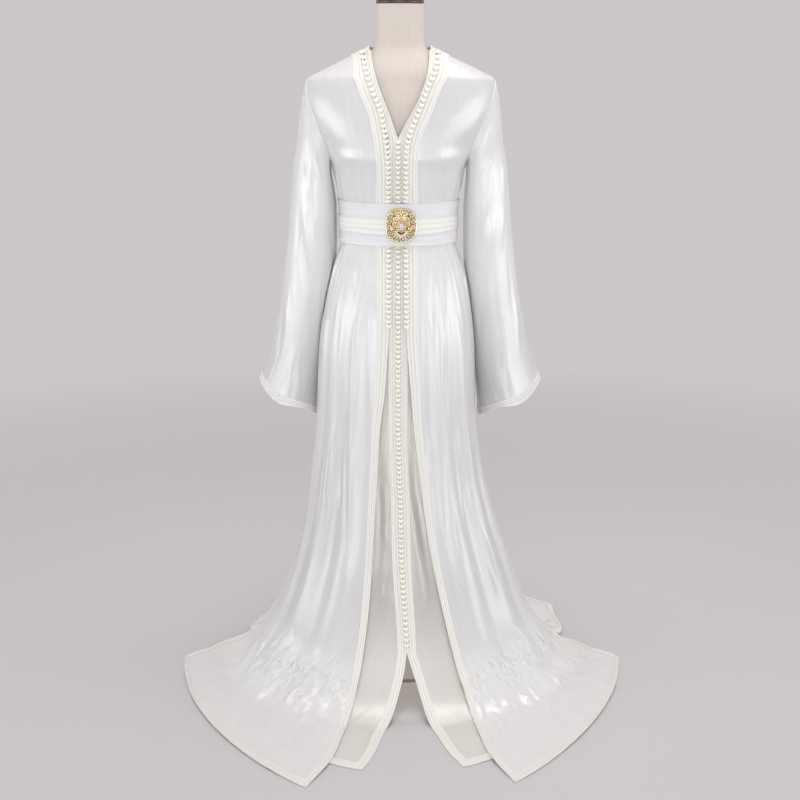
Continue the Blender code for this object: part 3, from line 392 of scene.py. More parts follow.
def fold_out(angle, down):
    """How far the outer gown's broad folds stand out."""
    total = np.zeros(np.broadcast(angle, down).shape)
    grown_from = np.asarray(down, float)
    for belt_angle, hem_angle, half_angle, start, height in FOLDS:
        middle = mix(belt_angle, hem_angle, step(down, BELT_END, HEM))
        turned = np.abs((angle - middle + 180.0) % 360.0 - 180.0)
        grown = step(grown_from, start, start + FOLD_FULL_LENGTH)
        left = mix(1.0, FOLD_LEFT_ON_FLOOR, step(down, 1.25, FLOOR_START))
        left = left * (1.0 - step(down, FLOOR_START, HEM - TRIM_WIDTH))
        shape = 0.5 + 0.5 * np.cos(np.pi * np.minimum(turned / half_angle, 1.0))
        total = total + height * grown * left * shape
    return total


def ridge_share(angle, down, width, end):
    """1 along the top of the shoulders beside the neck, where each layer bears."""
    beside = np.abs(np.cos(np.radians(angle)))
    return (1.0 - step(beside, 0.0, width)) * (1.0 - step(down, end - 0.020, end))


def inner_depth(angle, down):
    """Depth of the inner gown's outer face under the shell."""
    loose = mix(CLOTH + LAYER_GAP, FLOOR_DEPTH, step(down, 1.28, FLOOR_START - 0.02))
    return mix(loose, CLOTH + 2 * SEAM, ridge_share(angle, down, 0.30, 0.050))


def form_depth(angle, down):
    loose = 2 * CLOTH + LAYER_GAP + mix(BODY_GAP, HIP_GAP, step(down, YOKE_END, BELT_TOP))
    loose = loose + SHOULDER_GAP * (step(down, 0.045, 0.080) - step(down, 0.18, BELT_TOP))
    return mix(loose, 2 * CLOTH + 4 * SEAM, ridge_share(angle, down, 0.16, 0.028))


# ------------------------------------------------------------------ creases
def crease_height(points, creases, surface):
    """Sum, at some points, of soft ridges (and troughs) that run along a surface.

    A crease runs from one place to another with a sideways bow, is highest at `peak`,
    a share of its length, and fades to both ends.
    """
    flat = points.reshape(-1, 3)
    total = np.zeros(len(flat))
    for a0, d0, a1, d1, bow, half_width, height, peak in creases:
        share = np.linspace(0.0, 1.0, 9)
        line = surface(mix(a0, a1, share) + bow * np.sin(np.pi * share), mix(d0, d1, share))
        reach = 3.0 * half_width
        near = np.all((flat > line.min(0) - reach) & (flat < line.max(0) + reach), axis=1)
        if not near.any():
            continue
        spot = flat[near]
        best = np.full(len(spot), np.inf)
        where = np.zeros(len(spot))
        for i in range(len(line) - 1):
            run = line[i + 1] - line[i]
            t = np.clip((spot - line[i]) @ run / max(run @ run, 1e-12), 0.0, 1.0)
            gap = np.linalg.norm(spot - line[i] - t[:, None] * run, axis=1)
            closer = gap < best
            best = np.where(closer, gap, best)
            where = np.where(closer, (i + t) / (len(line) - 1), where)
        rise = 0.5 - 0.5 * np.cos(np.pi * np.clip(where / max(peak, 0.01), 0.0, 1.0))
        fall = 0.5 + 0.5 * np.cos(np.pi * np.clip((where - peak) / max(1.0 - peak, 0.01),
                                                  0.0, 1.0))
        fade = np.where(where < peak, rise, fall)
        total[near] += height * fade * np.exp(-(best / half_width) ** 2)
    return total.reshape(points.shape[:-1])


def gathers(seed, first, last, count, start, lengths, drift, half_widths, heights):
    """Small folds that fan out from a line: uneven in place, length, width and height."""
    rng = np.random.default_rng(seed)
    rows = []
    for i in range(count):
        angle = mix(first, last, (i + rng.uniform(0.15, 0.85)) / count)
        length = rng.uniform(*lengths)
        lean = drift * (angle / 60.0) + rng.uniform(-1.5, 1.5)
        rows.append((angle, start, angle + lean, start + length, rng.uniform(-1.0, 1.0),
                     rng.uniform(*half_widths), rng.uniform(*heights), 0.06))
    return rows


def crumples(seed, first, last, count, start, end, lengths, half_widths, height):
    """Short creases every way, thrown over the zone where the cloth turns onto the floor."""
    rng = np.random.default_rng(seed)
    rows = []
    for i in range(count):
        angle = mix(first, last, (i + rng.uniform()) / count)
        down = rng.uniform(start, end)
        length, heading = rng.uniform(*lengths), rng.uniform(-1.25, 1.25)
        turned = math.degrees(length * math.sin(heading) / 0.38)
        rows.append((angle, down, angle + turned, down + length * math.cos(heading),
                     rng.uniform(-1.0, 1.0), rng.uniform(*half_widths),
                     height * rng.choice((-0.8, 1.0)) * rng.uniform(0.4, 1.0), 0.5))
    return rows


# Creases of the outer gown: angle and station of each end, bow in degrees, half width,
# height, and where along it that height is.
OUTER_CREASES = (
    (-2.0, 0.2320, -84.0, 0.2320, 0, 0.0180, 0.0042, 0.50),
    (-55.6, 0.252, -47.4, 0.319, 0, 0.0024, 0.0016, 0.60),
    (-46.2, 0.253, -46.0, 0.319, 0, 0.0022, -0.0014, 0.70),
    (-29.8, 0.238, -25.6, 0.316, 0, 0.0038, 0.0024, 0.60),
    (-27.8, 0.265, -23.0, 0.316, 0, 0.0024, -0.0018, 0.70),
    (-38.6, 0.271, -38.0, 0.317, 0, 0.0024, -0.0014, 0.80),
    (-67.2, 0.254, -68.6, 0.322, 0, 0.0030, -0.0018, 0.70),
    (-49.4, 0.101, -54.4, 0.169, 0, 0.0030, -0.0007, 0.50),
    (-29.6, 0.090, -32.2, 0.141, 0, 0.0028, -0.0007, 0.50),
    (-74.6, 0.031, -43.6, 0.079, 0, 0.0032, 0.0011, 0.50),
    (2.0, 0.2320, 84.0, 0.2320, 0, 0.0180, 0.0042, 0.50),
    (25.8, 0.249, 23.4, 0.316, 0, 0.0028, 0.0020, 0.60),
    (33.4, 0.262, 32.0, 0.317, 0, 0.0026, -0.0015, 0.70),
    (46.8, 0.259, 46.4, 0.319, 0, 0.0024, 0.0018, 0.70),
    (54.6, 0.256, 56.8, 0.320, 0, 0.0040, -0.0022, 0.60),
    (77.8, 0.238, 86.0, 0.321, 0, 0.0030, 0.0020, 0.60),
    (64.6, 0.247, 69.8, 0.318, 0, 0.0042, -0.0028, 0.50),
    (36.2, 0.063, 35.0, 0.103, 0, 0.0032, -0.0013, 0.40),
    (86.0, 0.022, 50.8, 0.051, 0, 0.0032, 0.0013, 0.50),
    (-69.2, 0.408, -76.6, 0.562, 0, 0.0045, 0.0030, 0.30),
    (-40.6, 0.413, -36.8, 0.513, 0, 0.0034, 0.0024, 0.20),
    (-34.2, 0.414, -26.4, 0.504, 0, 0.0026, -0.0020, 0.30),
    (-24.2, 0.413, -20.6, 0.503, 0, 0.0040, 0.0020, 0.30),
    (-55.6, 0.416, -47.2, 0.530, 0, 0.0034, -0.0020, 0.40),
    (-42.6, 0.567, -44.2, 0.798, 0, 0.0036, 0.0026, 0.50),
    (-37.2, 0.574, -37.2, 0.786, 0, 0.0038, -0.0026, 0.50),
    (-30.0, 0.589, -29.0, 0.765, 0, 0.0034, -0.0026, 0.50),
    (-55.2, 0.541, -52.2, 0.618, 0, 0.0034, 0.0016, 0.50),
    (-49.8, 0.781, -48.4, 1.126, 0, 0.0045, 0.0042, 0.35),
    (-44.4, 0.833, -37.4, 1.015, 0, 0.0048, -0.0038, 0.45),
    (-37.4, 0.775, -31.6, 1.086, 0, 0.0044, -0.0034, 0.45),
    (-31.8, 0.779, -29.0, 1.188, 0, 0.0048, 0.0036, 0.40),
    (-20.6, 0.524, -19.2, 0.629, 0, 0.0042, 0.0018, 0.50),
    (-56.4, 0.795, -55.2, 1.098, 0, 0.0048, -0.0030, 0.45),
    (42.2, 0.416, 35.0, 0.687, 0, 0.0030, 0.0028, 0.40),
    (37.0, 0.595, 36.6, 0.798, 0, 0.0036, -0.0036, 0.50),
    (29.0, 0.422, 24.2, 0.525, 0, 0.0045, 0.0020, 0.30),
    (27.6, 0.525, 27.2, 0.652, 0, 0.0042, -0.0015, 0.50),
    (46.4, 0.637, 44.0, 0.921, 0, 0.0042, 0.0028, 0.60),
    (62.4, 0.578, 55.2, 0.805, 0, 0.0036, -0.0032, 0.50),
    (64.4, 0.693, 60.2, 0.820, 0, 0.0032, 0.0024, 0.50),
    (70.6, 0.456, 75.8, 0.566, 0, 0.0045, 0.0030, 0.40),
    (62.6, 0.420, 52.2, 0.531, 0, 0.0034, -0.0020, 0.30),
    (48.4, 0.787, 41.8, 1.062, 0, 0.0042, 0.0036, 0.40),
    (54.4, 0.789, 50.4, 1.023, 0, 0.0045, -0.0040, 0.45),
    (72.6, 0.801, 54.6, 1.027, 0, 0.0040, 0.0034, 0.40),
    (55.8, 1.008, 56.8, 1.251, 0, 0.0052, 0.0046, 0.40),
    (34.2, 0.773, 27.0, 1.084, 0, 0.0040, -0.0028, 0.40),
    (24.0, 0.782, 19.4, 1.081, 0, 0.0070, 0.0032, 0.40),
    (37.0, 0.917, 30.4, 1.169, 0, 0.0045, -0.0026, 0.50),
    (52.8, 1.104, 53.8, 1.205, 0, 0.0045, 0.0032, 0.50),
    (58.4, 1.078, 58.6, 1.199, 0, 0.0045, -0.0030, 0.50),
    (-57.4, 1.228, -48.8, 1.288, 0, 0.0045, 0.0030, 0.40),
    (-47.4, 1.246, -43.6, 1.318, 0, 0.0045, 0.0030, 0.50),
    (-57.6, 1.248, -66.4, 1.362, 0, 0.0070, 0.0060, 0.50),
    (-57.6, 1.272, -63.6, 1.334, 0, 0.0060, -0.0040, 0.50),
    (-51.2, 1.295, -56.8, 1.356, 0, 0.0050, 0.0048, 0.50),
    (-56.8, 1.356, -61.2, 1.443, 0, 0.0050, 0.0040, 0.40),
    (-56.8, 1.346, -42.6, 1.353, 0, 0.0060, 0.0048, 0.50),
    (-44.6, 1.347, -29.4, 1.378, 0, 0.0066, 0.0058, 0.50),
    (-30.8, 1.370, -17.8, 1.436, 0, 0.0066, 0.0052, 0.50),
    (-45.8, 1.319, -31.2, 1.349, 0, 0.0055, -0.0044, 0.50),
    (-35.4, 1.340, -23.0, 1.377, 0, 0.0055, 0.0042, 0.50),
    (-28.8, 1.358, -19.2, 1.385, 0, 0.0055, -0.0036, 0.50),
    (-78.6, 1.482, -74.0, 1.373, 0, 0.0048, 0.0034, 0.50),
    (-88.4, 1.377, -70.0, 1.336, 0, 0.0045, 0.0034, 0.50),
    (-63.2, 1.526, -56.4, 1.516, 0, 0.0038, 0.0030, 0.50),
    (-64.0, 1.501, -57.0, 1.490, 0, 0.0036, -0.0026, 0.50),
    (84.6, 1.364, 82.4, 1.516, 0, 0.0065, 0.0046, 0.50),
    (65.6, 1.319, 77.8, 1.545, 0, 0.0052, 0.0042, 0.50),
    (47.8, 1.258, 43.8, 1.333, 0, 0.0060, -0.0052, 0.50),
    (49.4, 1.335, 48.6, 1.425, 0, 0.0052, 0.0046, 0.50),
    (51.6, 1.301, 60.8, 1.433, 0, 0.0052, 0.0044, 0.50),
    (55.8, 1.243, 62.6, 1.296, 0, 0.0050, 0.0042, 0.50),
    (62.6, 1.296, 68.8, 1.347, 0, 0.0050, 0.0038, 0.50),
    (29.2, 1.382, 31.2, 1.474, 0, 0.0050, 0.0044, 0.50),
    (43.6, 1.365, 46.6, 1.434, 0, 0.0050, 0.0044, 0.50),
    (37.8, 1.351, 37.2, 1.433, 0, 0.0050, -0.0036, 0.50),
    (58.6, 1.525, 59.6, 1.568, 0, 0.0042, -0.0030, 0.50),
    (39.8, 1.571, 41.2, 1.592, 0, 0.0042, -0.0030, 0.50),
)
INNER_CREASES = (
    (-13.5, 0.700, -12.0, 1.290, 0, 0.0150, -0.0140, 0.45),
    (10.5, 0.720, 14.0, 1.290, 2, 0.0155, -0.0150, 0.45),
    (-12.4, 1.392, -7.2, 1.428, 0, 0.0060, 0.0044, 0.50),
    (-11.0, 0.879, -3.2, 0.956, 0, 0.0055, -0.0040, 0.50),
    (-12.0, 0.995, -5.2, 1.061, 0, 0.0055, 0.0036, 0.50),
    (-12.6, 1.103, -4.2, 1.158, 0, 0.0055, 0.0040, 0.60),
    (-12.2, 1.139, -4.4, 1.193, 0, 0.0050, -0.0036, 0.50),
    (11.6, 0.823, 11.0, 1.005, 0, 0.0050, -0.0040, 0.50),
    (10.6, 1.037, 8.4, 1.197, 0, 0.0050, 0.0030, 0.50),
)
# Creases of the sleeves: degrees round from the shoulder and rings down, at each end.
SLEEVE_CREASES = {
    -1: (
        (53.5, 2.720, 72.5, 3.840, 0, 0.0050, -0.0025, 0.50),
        (68.5, 3.720, 97.0, 4.800, 0, 0.0050, -0.0022, 0.50),
        (93.5, 4.600, 117.5, 5.780, 0, 0.0050, -0.0019, 0.50),
        (70.5, 4.620, 94.5, 6.960, 0, 0.0070, 0.0046, 0.40),
        (82.0, 6.380, 111.5, 9.260, 0, 0.0070, 0.0034, 0.40),
        (55.5, 4.500, 57.5, 6.640, 0, 0.0056, -0.0025, 0.50),
        (57.5, 6.280, 68.5, 7.860, 0, 0.0056, -0.0021, 0.50),
        (82.5, 1.560, 108.5, 3.520, 0, 0.0045, 0.0034, 0.50),
        (123.5, 3.620, 180.0, 7.100, 0, 0.0063, -0.0019, 0.50),
        (107.0, 5.680, 129.0, 8.520, 0, 0.0045, 0.0024, 0.50),
        (43.5, 7.300, 59.5, 9.380, 0, 0.0055, 0.0030, 0.50),
        (31.5, 8.000, 51.0, 10.060, 0, 0.0063, -0.0019, 0.50),
        (39.5, 1.460, 71.0, 2.460, 0, 0.0036, 0.0022, 0.50),
        (76.5, 9.220, 90.0, 10.860, 0, 0.0050, 0.0026, 0.50),
        (93.5, 8.740, 113.5, 10.680, 0, 0.0050, -0.0026, 0.50),
    ),
    1: (
        (50.5, 1.860, 86.0, 3.420, 0, 0.0045, 0.0040, 0.50),
        (82.5, 3.240, 119.5, 5.760, 0, 0.0045, 0.0038, 0.40),
        (36.0, 2.740, 44.5, 4.880, 0, 0.0050, 0.0036, 0.50),
        (43.0, 4.700, 67.0, 6.420, 0, 0.0050, 0.0034, 0.50),
        (67.5, 1.080, 97.5, 2.400, 0, 0.0060, -0.0027, 0.50),
        (94.5, 2.140, 121.0, 3.980, 0, 0.0060, -0.0025, 0.50),
        (75.5, 4.540, 96.5, 6.840, 0, 0.0080, 0.0044, 0.40),
        (93.0, 6.500, 110.5, 8.900, 0, 0.0060, 0.0030, 0.50),
        (116.0, 6.600, 141.5, 9.280, 0, 0.0063, -0.0021, 0.50),
        (36.0, 5.860, 55.0, 8.760, 0, 0.0063, -0.0019, 0.50),
        (31.0, 7.400, 55.5, 9.840, 0, 0.0050, 0.0032, 0.50),
        (86.5, 8.460, 106.0, 10.740, 0, 0.0050, -0.0026, 0.50),
        (77.0, 9.040, 90.0, 10.860, 0, 0.0050, 0.0026, 0.50),
    ),
}
GATHERS = (
    gathers(3, -82.0, -16.0, 17, BELT_END - 0.004, (0.05, 0.26), 5.0, (0.0035, 0.0075),
            (0.0010, 0.0030))
    + gathers(4, 12.0, 82.0, 18, BELT_END - 0.004, (0.05, 0.26), 5.0, (0.0035, 0.0075),
              (0.0010, 0.0030))
    + gathers(5, 98.0, 262.0, 34, BELT_END - 0.004, (0.05, 0.30), 0.0, (0.0040, 0.0085),
              (0.0010, 0.0032))
    + gathers(6, -80.0, -16.0, 14, BELT_TOP + 0.004, (-0.14, -0.04), -4.0, (0.0030, 0.0065),
              (0.0016, 0.0044))
    + gathers(7, 12.0, 80.0, 14, BELT_TOP + 0.004, (-0.14, -0.04), -4.0, (0.0030, 0.0065),
              (0.0016, 0.0044))
    + gathers(8, 100.0, 260.0, 22, BELT_TOP + 0.004, (-0.13, -0.03), 0.0, (0.0035, 0.0075),
              (0.0008, 0.0026))
    + gathers(9, -84.0, -14.0, 16, 0.56, (0.30, 0.62), 0.0, (0.0040, 0.0080), (-0.0022, 0.0026))
    + gathers(10, 14.0, 84.0, 16, 0.56, (0.30, 0.62), 0.0, (0.0040, 0.0080), (-0.0022, 0.0026))
    + gathers(11, 98.0, 262.0, 34, 0.56, (0.30, 0.66), 0.0, (0.0050, 0.0100), (-0.0028, 0.0034))
)
CRUMPLES = (
    crumples(21, -88.0, -16.0, 110, 1.285, 1.40, (0.025, 0.085), (0.0050, 0.0095), 0.0046)
    + crumples(22, 18.0, 88.0, 110, 1.285, 1.40, (0.025, 0.085), (0.0050, 0.0095), 0.0046)
    + crumples(23, 96.0, 264.0, 110, 1.285, 1.42, (0.030, 0.090), (0.0050, 0.0080), 0.0064)
    + crumples(24, -88.0, -20.0, 40, 1.40, 1.57, (0.020, 0.070), (0.0045, 0.0080), 0.0034)
    + crumples(25, 22.0, 88.0, 40, 1.40, 1.57, (0.020, 0.070), (0.0045, 0.0080), 0.0034)
)


class Creased:
    """Heights of the creases on a surface, worked out once on a fine grid of places."""

    def __init__(self, surface, creases, room):
        self.down_step, self.angle_step = 0.002, 0.4
        down = np.arange(0.0, HEM + 2 * self.down_step, self.down_step)[:, None]
        angle = np.arange(-180.0, 180.0 + 2 * self.angle_step, self.angle_step)[None, :]
        self.points = surface(angle, down)
        self.heights = np.zeros(self.points.shape[:2])
        for crease in creases:
            self.add(crease, surface)
        sunk = -room(down) * np.tanh(-self.heights / room(down))
        self.heights = np.where(self.heights < 0.0, sunk, self.heights)

    def add(self, crease, surface):
        """Add one crease, to the part of the grid that it can reach."""
        first_angle, first_down, last_angle, last_down, bow, half_width = crease[:6]
        reach = 3.0 * half_width
        turn = abs(bow) + math.degrees(reach / LEAST_RADIUS)
        top = max(int((min(first_down, last_down) - reach) / self.down_step), 0)
        bottom = int((max(first_down, last_down) + reach) / self.down_step) + 2
        left = int((min(first_angle, last_angle) - turn + 180.0) / self.angle_step)
        right = int((max(first_angle, last_angle) + turn + 180.0) / self.angle_step) + 2
        columns = np.arange(left, right) % int(360.0 / self.angle_step)
        block = self.points[top:bottom][:, columns]
        self.heights[top:bottom, columns] += crease_height(block, (crease,), surface)

    def at(self, angle, down):
        angle, down = np.broadcast_arrays(np.asarray(angle, float), np.asarray(down, float))
        row = np.maximum(down, 0.0) / self.down_step
        column = ((angle + 180.0) % 360.0) / self.angle_step
        r, c = row.astype(int), column.astype(int)
        after = (c + 1) % int(360.0 / self.angle_step)
        above = mix(self.heights[r, c], self.heights[r, after], column - c)
        below = mix(self.heights[r + 1, c], self.heights[r + 1, after], column - c)
        return mix(above, below, row - r)


def room_over_inner(down):
    """How deep a trough of the outer gown may be before it meets the inner gown."""
    return mix(0.0034, 0.0018, step(down, 1.28, FLOOR_START - 0.02))


def room_under_inner(down):
    """The same for the inner gown, over the form or, below that, inside the skirt."""
    inside = step(down, FORM_LOW + 0.05, FORM_LOW + 0.20) - step(down, 1.20, 1.32)
    return mix(0.0030, 0.024, inside)


OUTER_CREASED = Creased(lambda angle, down: shell(angle, down, fold_out(angle, down)),
                        OUTER_CREASES + tuple(GATHERS) + tuple(CRUMPLES), room_over_inner)
INNER_CREASED = Creased(lambda angle, down: shell(angle, down, -inner_depth(angle, down)),
                        INNER_CREASES, room_under_inner)


def outer_relief(angle, down):
    """Height of the outer gown's folds and creases over the shell."""
    return fold_out(angle, down) + OUTER_CREASED.at(angle, down)


def inner_relief(angle, down):
    return INNER_CREASED.at(angle, down) - inner_depth(angle, down)


# ------------------------------------------------------------------ meshes
def mesh_piece(name, points, faces, uvs, material, sharp=50.0):
    """An object from arrays of points, faces (lists of indices) and a UV for each point."""
    mesh = bpy.data.meshes.new(name)
    mesh.from_pydata(points.tolist(), [], faces)
    if uvs is not None:
        corners = np.empty(len(mesh.loops), dtype=np.int32)
        mesh.loops.foreach_get("vertex_index", corners)
        layer = mesh.uv_layers.new(name="UVMap")
        layer.data.foreach_set("uv", uvs[corners].astype(np.float32).ravel())
    mesh.shade_smooth()
    mesh.set_sharp_from_angle(angle=math.radians(sharp))
    mesh.materials.append(material)
    piece = bpy.data.objects.new(name, mesh)
    bpy.context.scene.collection.objects.link(piece)
    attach(piece, "root")
    return piece


def grid_faces(rows, columns, wrap, offset=0, flip=False):
    """Faces of a grid of points, as lists of four indices."""
    r, c = np.meshgrid(np.arange(rows - 1), np.arange(columns if wrap else columns - 1),
                       indexing="ij")
    after = (c + 1) % columns
    corners = [r * columns + c, (r + 1) * columns + c, (r + 1) * columns + after,
               r * columns + after]
    if flip:
        corners = corners[::-1]
    return (np.stack(corners, axis=-1).reshape(-1, 4) + offset).tolist()


def capped_faces(rows, columns, flip=False):
    """Faces of a tube of points, closed by one face at each end."""
    first = list(range(columns))
    last = [(rows - 1) * columns + i for i in range(columns)][::-1]
    caps = [first[::-1], last[::-1]] if flip else [first, last]
    return grid_faces(rows, columns, True, flip=flip) + caps


def border_faces(rows, columns, wrap, below):
    """Faces that join the border of a grid to that of the grid `below` points later."""
    def strip(line):
        return [[line[i + 1], line[i], line[i] + below, line[i + 1] + below]
                for i in range(len(line) - 1)]
    top = list(range(columns)) + ([0] if wrap else [])
    low = [(rows - 1) * columns + c for c in top]
    faces = strip(top[::-1]) + strip(low)
    if not wrap:
        faces += strip([r * columns for r in range(rows)])
        faces += strip([(r + 1) * columns - 1 for r in range(rows)][::-1])
    return faces


def cloth(name, outer, inner, uv, material, wrap=False, sharp=50.0):
    """A thin shell between two grids of points, closed along its borders."""
    rows, columns = outer.shape[:2]
    below = rows * columns
    points = np.concatenate((outer.reshape(-1, 3), inner.reshape(-1, 3)))
    faces = (grid_faces(rows, columns, wrap)
             + grid_faces(rows, columns, wrap, below, flip=True)
             + border_faces(rows, columns, wrap, below))
    uvs = np.concatenate((uv.reshape(-1, 2), uv.reshape(-1, 2)))
    return mesh_piece(name, points, faces, uvs, material, sharp)


def grid_uv(outer):
    """UVs in metres: along each row from its start, and down the grid's first column."""
    across = np.linalg.norm(np.diff(outer, axis=1), axis=-1)
    u = np.concatenate((np.zeros((len(outer), 1)), np.cumsum(across, axis=1)), axis=1)
    middle = outer[:, outer.shape[1] // 2]
    down = np.linalg.norm(np.diff(middle, axis=0), axis=-1)
    v = np.concatenate(([0.0], np.cumsum(down)))
    return np.stack((u - u.mean(axis=1, keepdims=True), np.broadcast_to(v[:, None], u.shape)),
                    axis=-1)


def tube_points(path, radius, sides):
    """Rings of points round a path; radius is one size or one for each point."""
    path = np.asarray(path, float)
    along = unit(np.gradient(path, axis=0))
    side = unit(np.cross(along, along[:1] * 0.0 + np.array([0.13, -0.92, 0.37])))
    up = np.cross(side, along)
    turn = np.linspace(0.0, 2.0 * np.pi, sides, endpoint=False)
    radius = np.broadcast_to(radius, len(path))[:, None, None]
    return path[:, None] + radius * (side[:, None] * np.cos(turn)[None, :, None]
                                     + up[:, None] * np.sin(turn)[None, :, None])


class Gathered:
    """Meshes collected into one piece."""

    def __init__(self):
        self.points, self.faces, self.uvs, self.count = [], [], [], 0

    def add(self, points, faces, uv=None):
        self.points.append(points)
        self.faces += [[i + self.count for i in face] for face in faces]
        self.uvs.append(np.zeros((len(points), 2)) if uv is None else uv)
        self.count += len(points)

    def add_tube(self, path, radius, sides=6):
        rings = tube_points(path, radius, sides)
        rows = len(rings)
        faces = grid_faces(rows, sides, True)
        faces += [list(range(sides)), [(rows - 1) * sides + i for i in range(sides)][::-1]]
        self.add(rings.reshape(-1, 3), faces)

    def piece(self, name, material, sharp=50.0):
        return mesh_piece(name, np.concatenate(self.points), self.faces,
                          np.concatenate(self.uvs), material, sharp)


def stand_for(node):
    """Hide a CAD node whose place a piece takes."""
    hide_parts(node)


# ------------------------------------------------------------------ materials
class Shader:
    """A Principled material and short ways to add nodes to it."""

    def __init__(self, name, colour, roughness, metallic=0.0, **sockets):
        self.material = bpy.data.materials.new(name)
        self.material.use_nodes = True
        self.nodes = self.material.node_tree.nodes
        self.links = self.material.node_tree.links
        self.main = self.nodes["Principled BSDF"]
        self.set(self.main, {"Base Color": (*colour, 1.0), "Roughness": roughness,
                             "Metallic": metallic, **sockets})

    def set(self, node, values):
        for key, value in values.items():
            node.inputs[key].default_value = value

    def node(self, kind, settings=None, **inputs):
        node = self.nodes.new(kind)
        for key, value in (settings or {}).items():
            setattr(node, key, value)
        for key, value in inputs.items():
            name = key.replace("_", " ")
            if isinstance(value, bpy.types.NodeSocket):
                self.links.new(value, node.inputs[name])
            else:
                node.inputs[name].default_value = value
        return node

    def scaled(self, coordinate, scale, rotation=0.0):
        """A texture coordinate stretched by three scales."""
        source = self.node("ShaderNodeTexCoord").outputs[coordinate]
        mapping = self.node("ShaderNodeMapping", Vector=source, Scale=scale,
                            Rotation=(0.0, 0.0, rotation))
        return mapping.outputs["Vector"]

    def noise(self, coordinate, scale, detail=3.0, rotation=0.0):
        return self.node("ShaderNodeTexNoise", Vector=self.scaled(coordinate, scale, rotation),
                         Scale=1.0, Detail=detail).outputs["Fac"]

    def wave(self, coordinate, scale, direction="X", distortion=0.0):
        return self.node("ShaderNodeTexWave", {"bands_direction": direction},
                         Vector=self.scaled(coordinate, scale), Scale=1.0,
                         Distortion=distortion).outputs["Fac"]

    def only_near(self, height, places):
        """A height kept round the middle of three places down the cloth, and 0 beyond the others."""
        before, middle, after = places
        place = self.node("ShaderNodeTexCoord").outputs["UV"]
        down = self.node("ShaderNodeSeparateXYZ", Vector=place).outputs["Y"]
        ways = {"interpolation_type": "SMOOTHSTEP"}
        rise = self.node("ShaderNodeMapRange", ways, Value=down, From_Min=before, From_Max=middle)
        fall = self.node("ShaderNodeMapRange", ways, Value=down, From_Min=after, From_Max=middle)
        share = self.product(rise.outputs["Result"], fall.outputs["Result"])
        return self.product(share, height)

    def shaded_down(self, colour, stops, warmth):
        """A colour with light and shade painted into it by how far down the cloth a point is; its
        painted shade is also warmer.
        """
        place = self.node("ShaderNodeTexCoord").outputs["UV"]
        down = self.node("ShaderNodeSeparateXYZ", Vector=place).outputs["Y"]
        share = self.node("ShaderNodeMapRange", Value=down, From_Max=CLOTH_LENGTH)
        ramp = self.node("ShaderNodeValToRGB", Fac=share.outputs["Result"])
        for metres, _ in stops[2:]:
            ramp.color_ramp.elements.new(metres / CLOTH_LENGTH)
        for element, (metres, light) in zip(ramp.color_ramp.elements, stops):
            element.position = metres / CLOTH_LENGTH
            blue = light * (1.0 - 4.0 * warmth * max(1.0 - light, 0.0))
            element.color = (light, light, blue, 1.0)
        both = self.node("ShaderNodeVectorMath", {"operation": "MULTIPLY"})
        self.links.new(colour, both.inputs[0])
        self.links.new(ramp.outputs["Color"], both.inputs[1])
        return both.outputs["Vector"]

    def product(self, first, second):
        node = self.nodes.new("ShaderNodeMath")
        node.operation = "MULTIPLY"
        self.links.new(first, node.inputs[0])
        self.links.new(second, node.inputs[1])
        return node.outputs["Value"]

    def ramp(self, factor, low, high, dark, light):
        """A colour from one to another as a factor goes from low to high."""
        ramp = self.node("ShaderNodeValToRGB", Fac=factor)
        ramp.color_ramp.elements[0].position = low
        ramp.color_ramp.elements[0].color = (*dark, 1.0)
        ramp.color_ramp.elements[1].position = high
        ramp.color_ramp.elements[1].color = (*light, 1.0)
        return ramp.outputs["Color"]

    def bump(self, *layers):
        """Bumps on top of each other, each (height socket, metres)."""
        below = None
        for height, distance in layers:
            node = self.node("ShaderNodeBump", Height=height, Strength=1.0, Distance=distance)
            if below is not None:
                self.links.new(below, node.inputs["Normal"])
            below = node.outputs["Normal"]
        self.links.new(below, self.main.inputs["Normal"])

    def colour_from(self, socket):
        self.links.new(socket, self.main.inputs["Base Color"])


CLOTH_LENGTH = 1.70             # metres down the cloth that a shader's ramp covers
CRUMPLED = (1.31, 1.385, 1.46)   # metres down the outer gown: where its bend crumples

# Light painted into each cloth's colour: metres down, what the colour is times.
ALL_ALIKE = ((0.00, 1.0), (1.70, 1.0))
SLEEVE_LIGHT = ((0.00, 0.98), (0.20, 1.02), (0.38, 1.06), (0.50, 0.92), (0.64, 0.75))
UNDER_LIGHT = ((0.00, 1.0), (1.20, 1.0), (1.34, 1.50), (1.50, 1.58))
GOWN_LIGHT = ((0.00, 0.95), (0.19, 0.90), (0.26, 0.96), (0.40, 1.05), (0.50, 1.05),
              (0.62, 0.98), (0.80, 0.91), (1.20, 0.84), (1.30, 0.92), (1.38, 1.11),
              (1.45, 1.06), (1.50, 1.00))


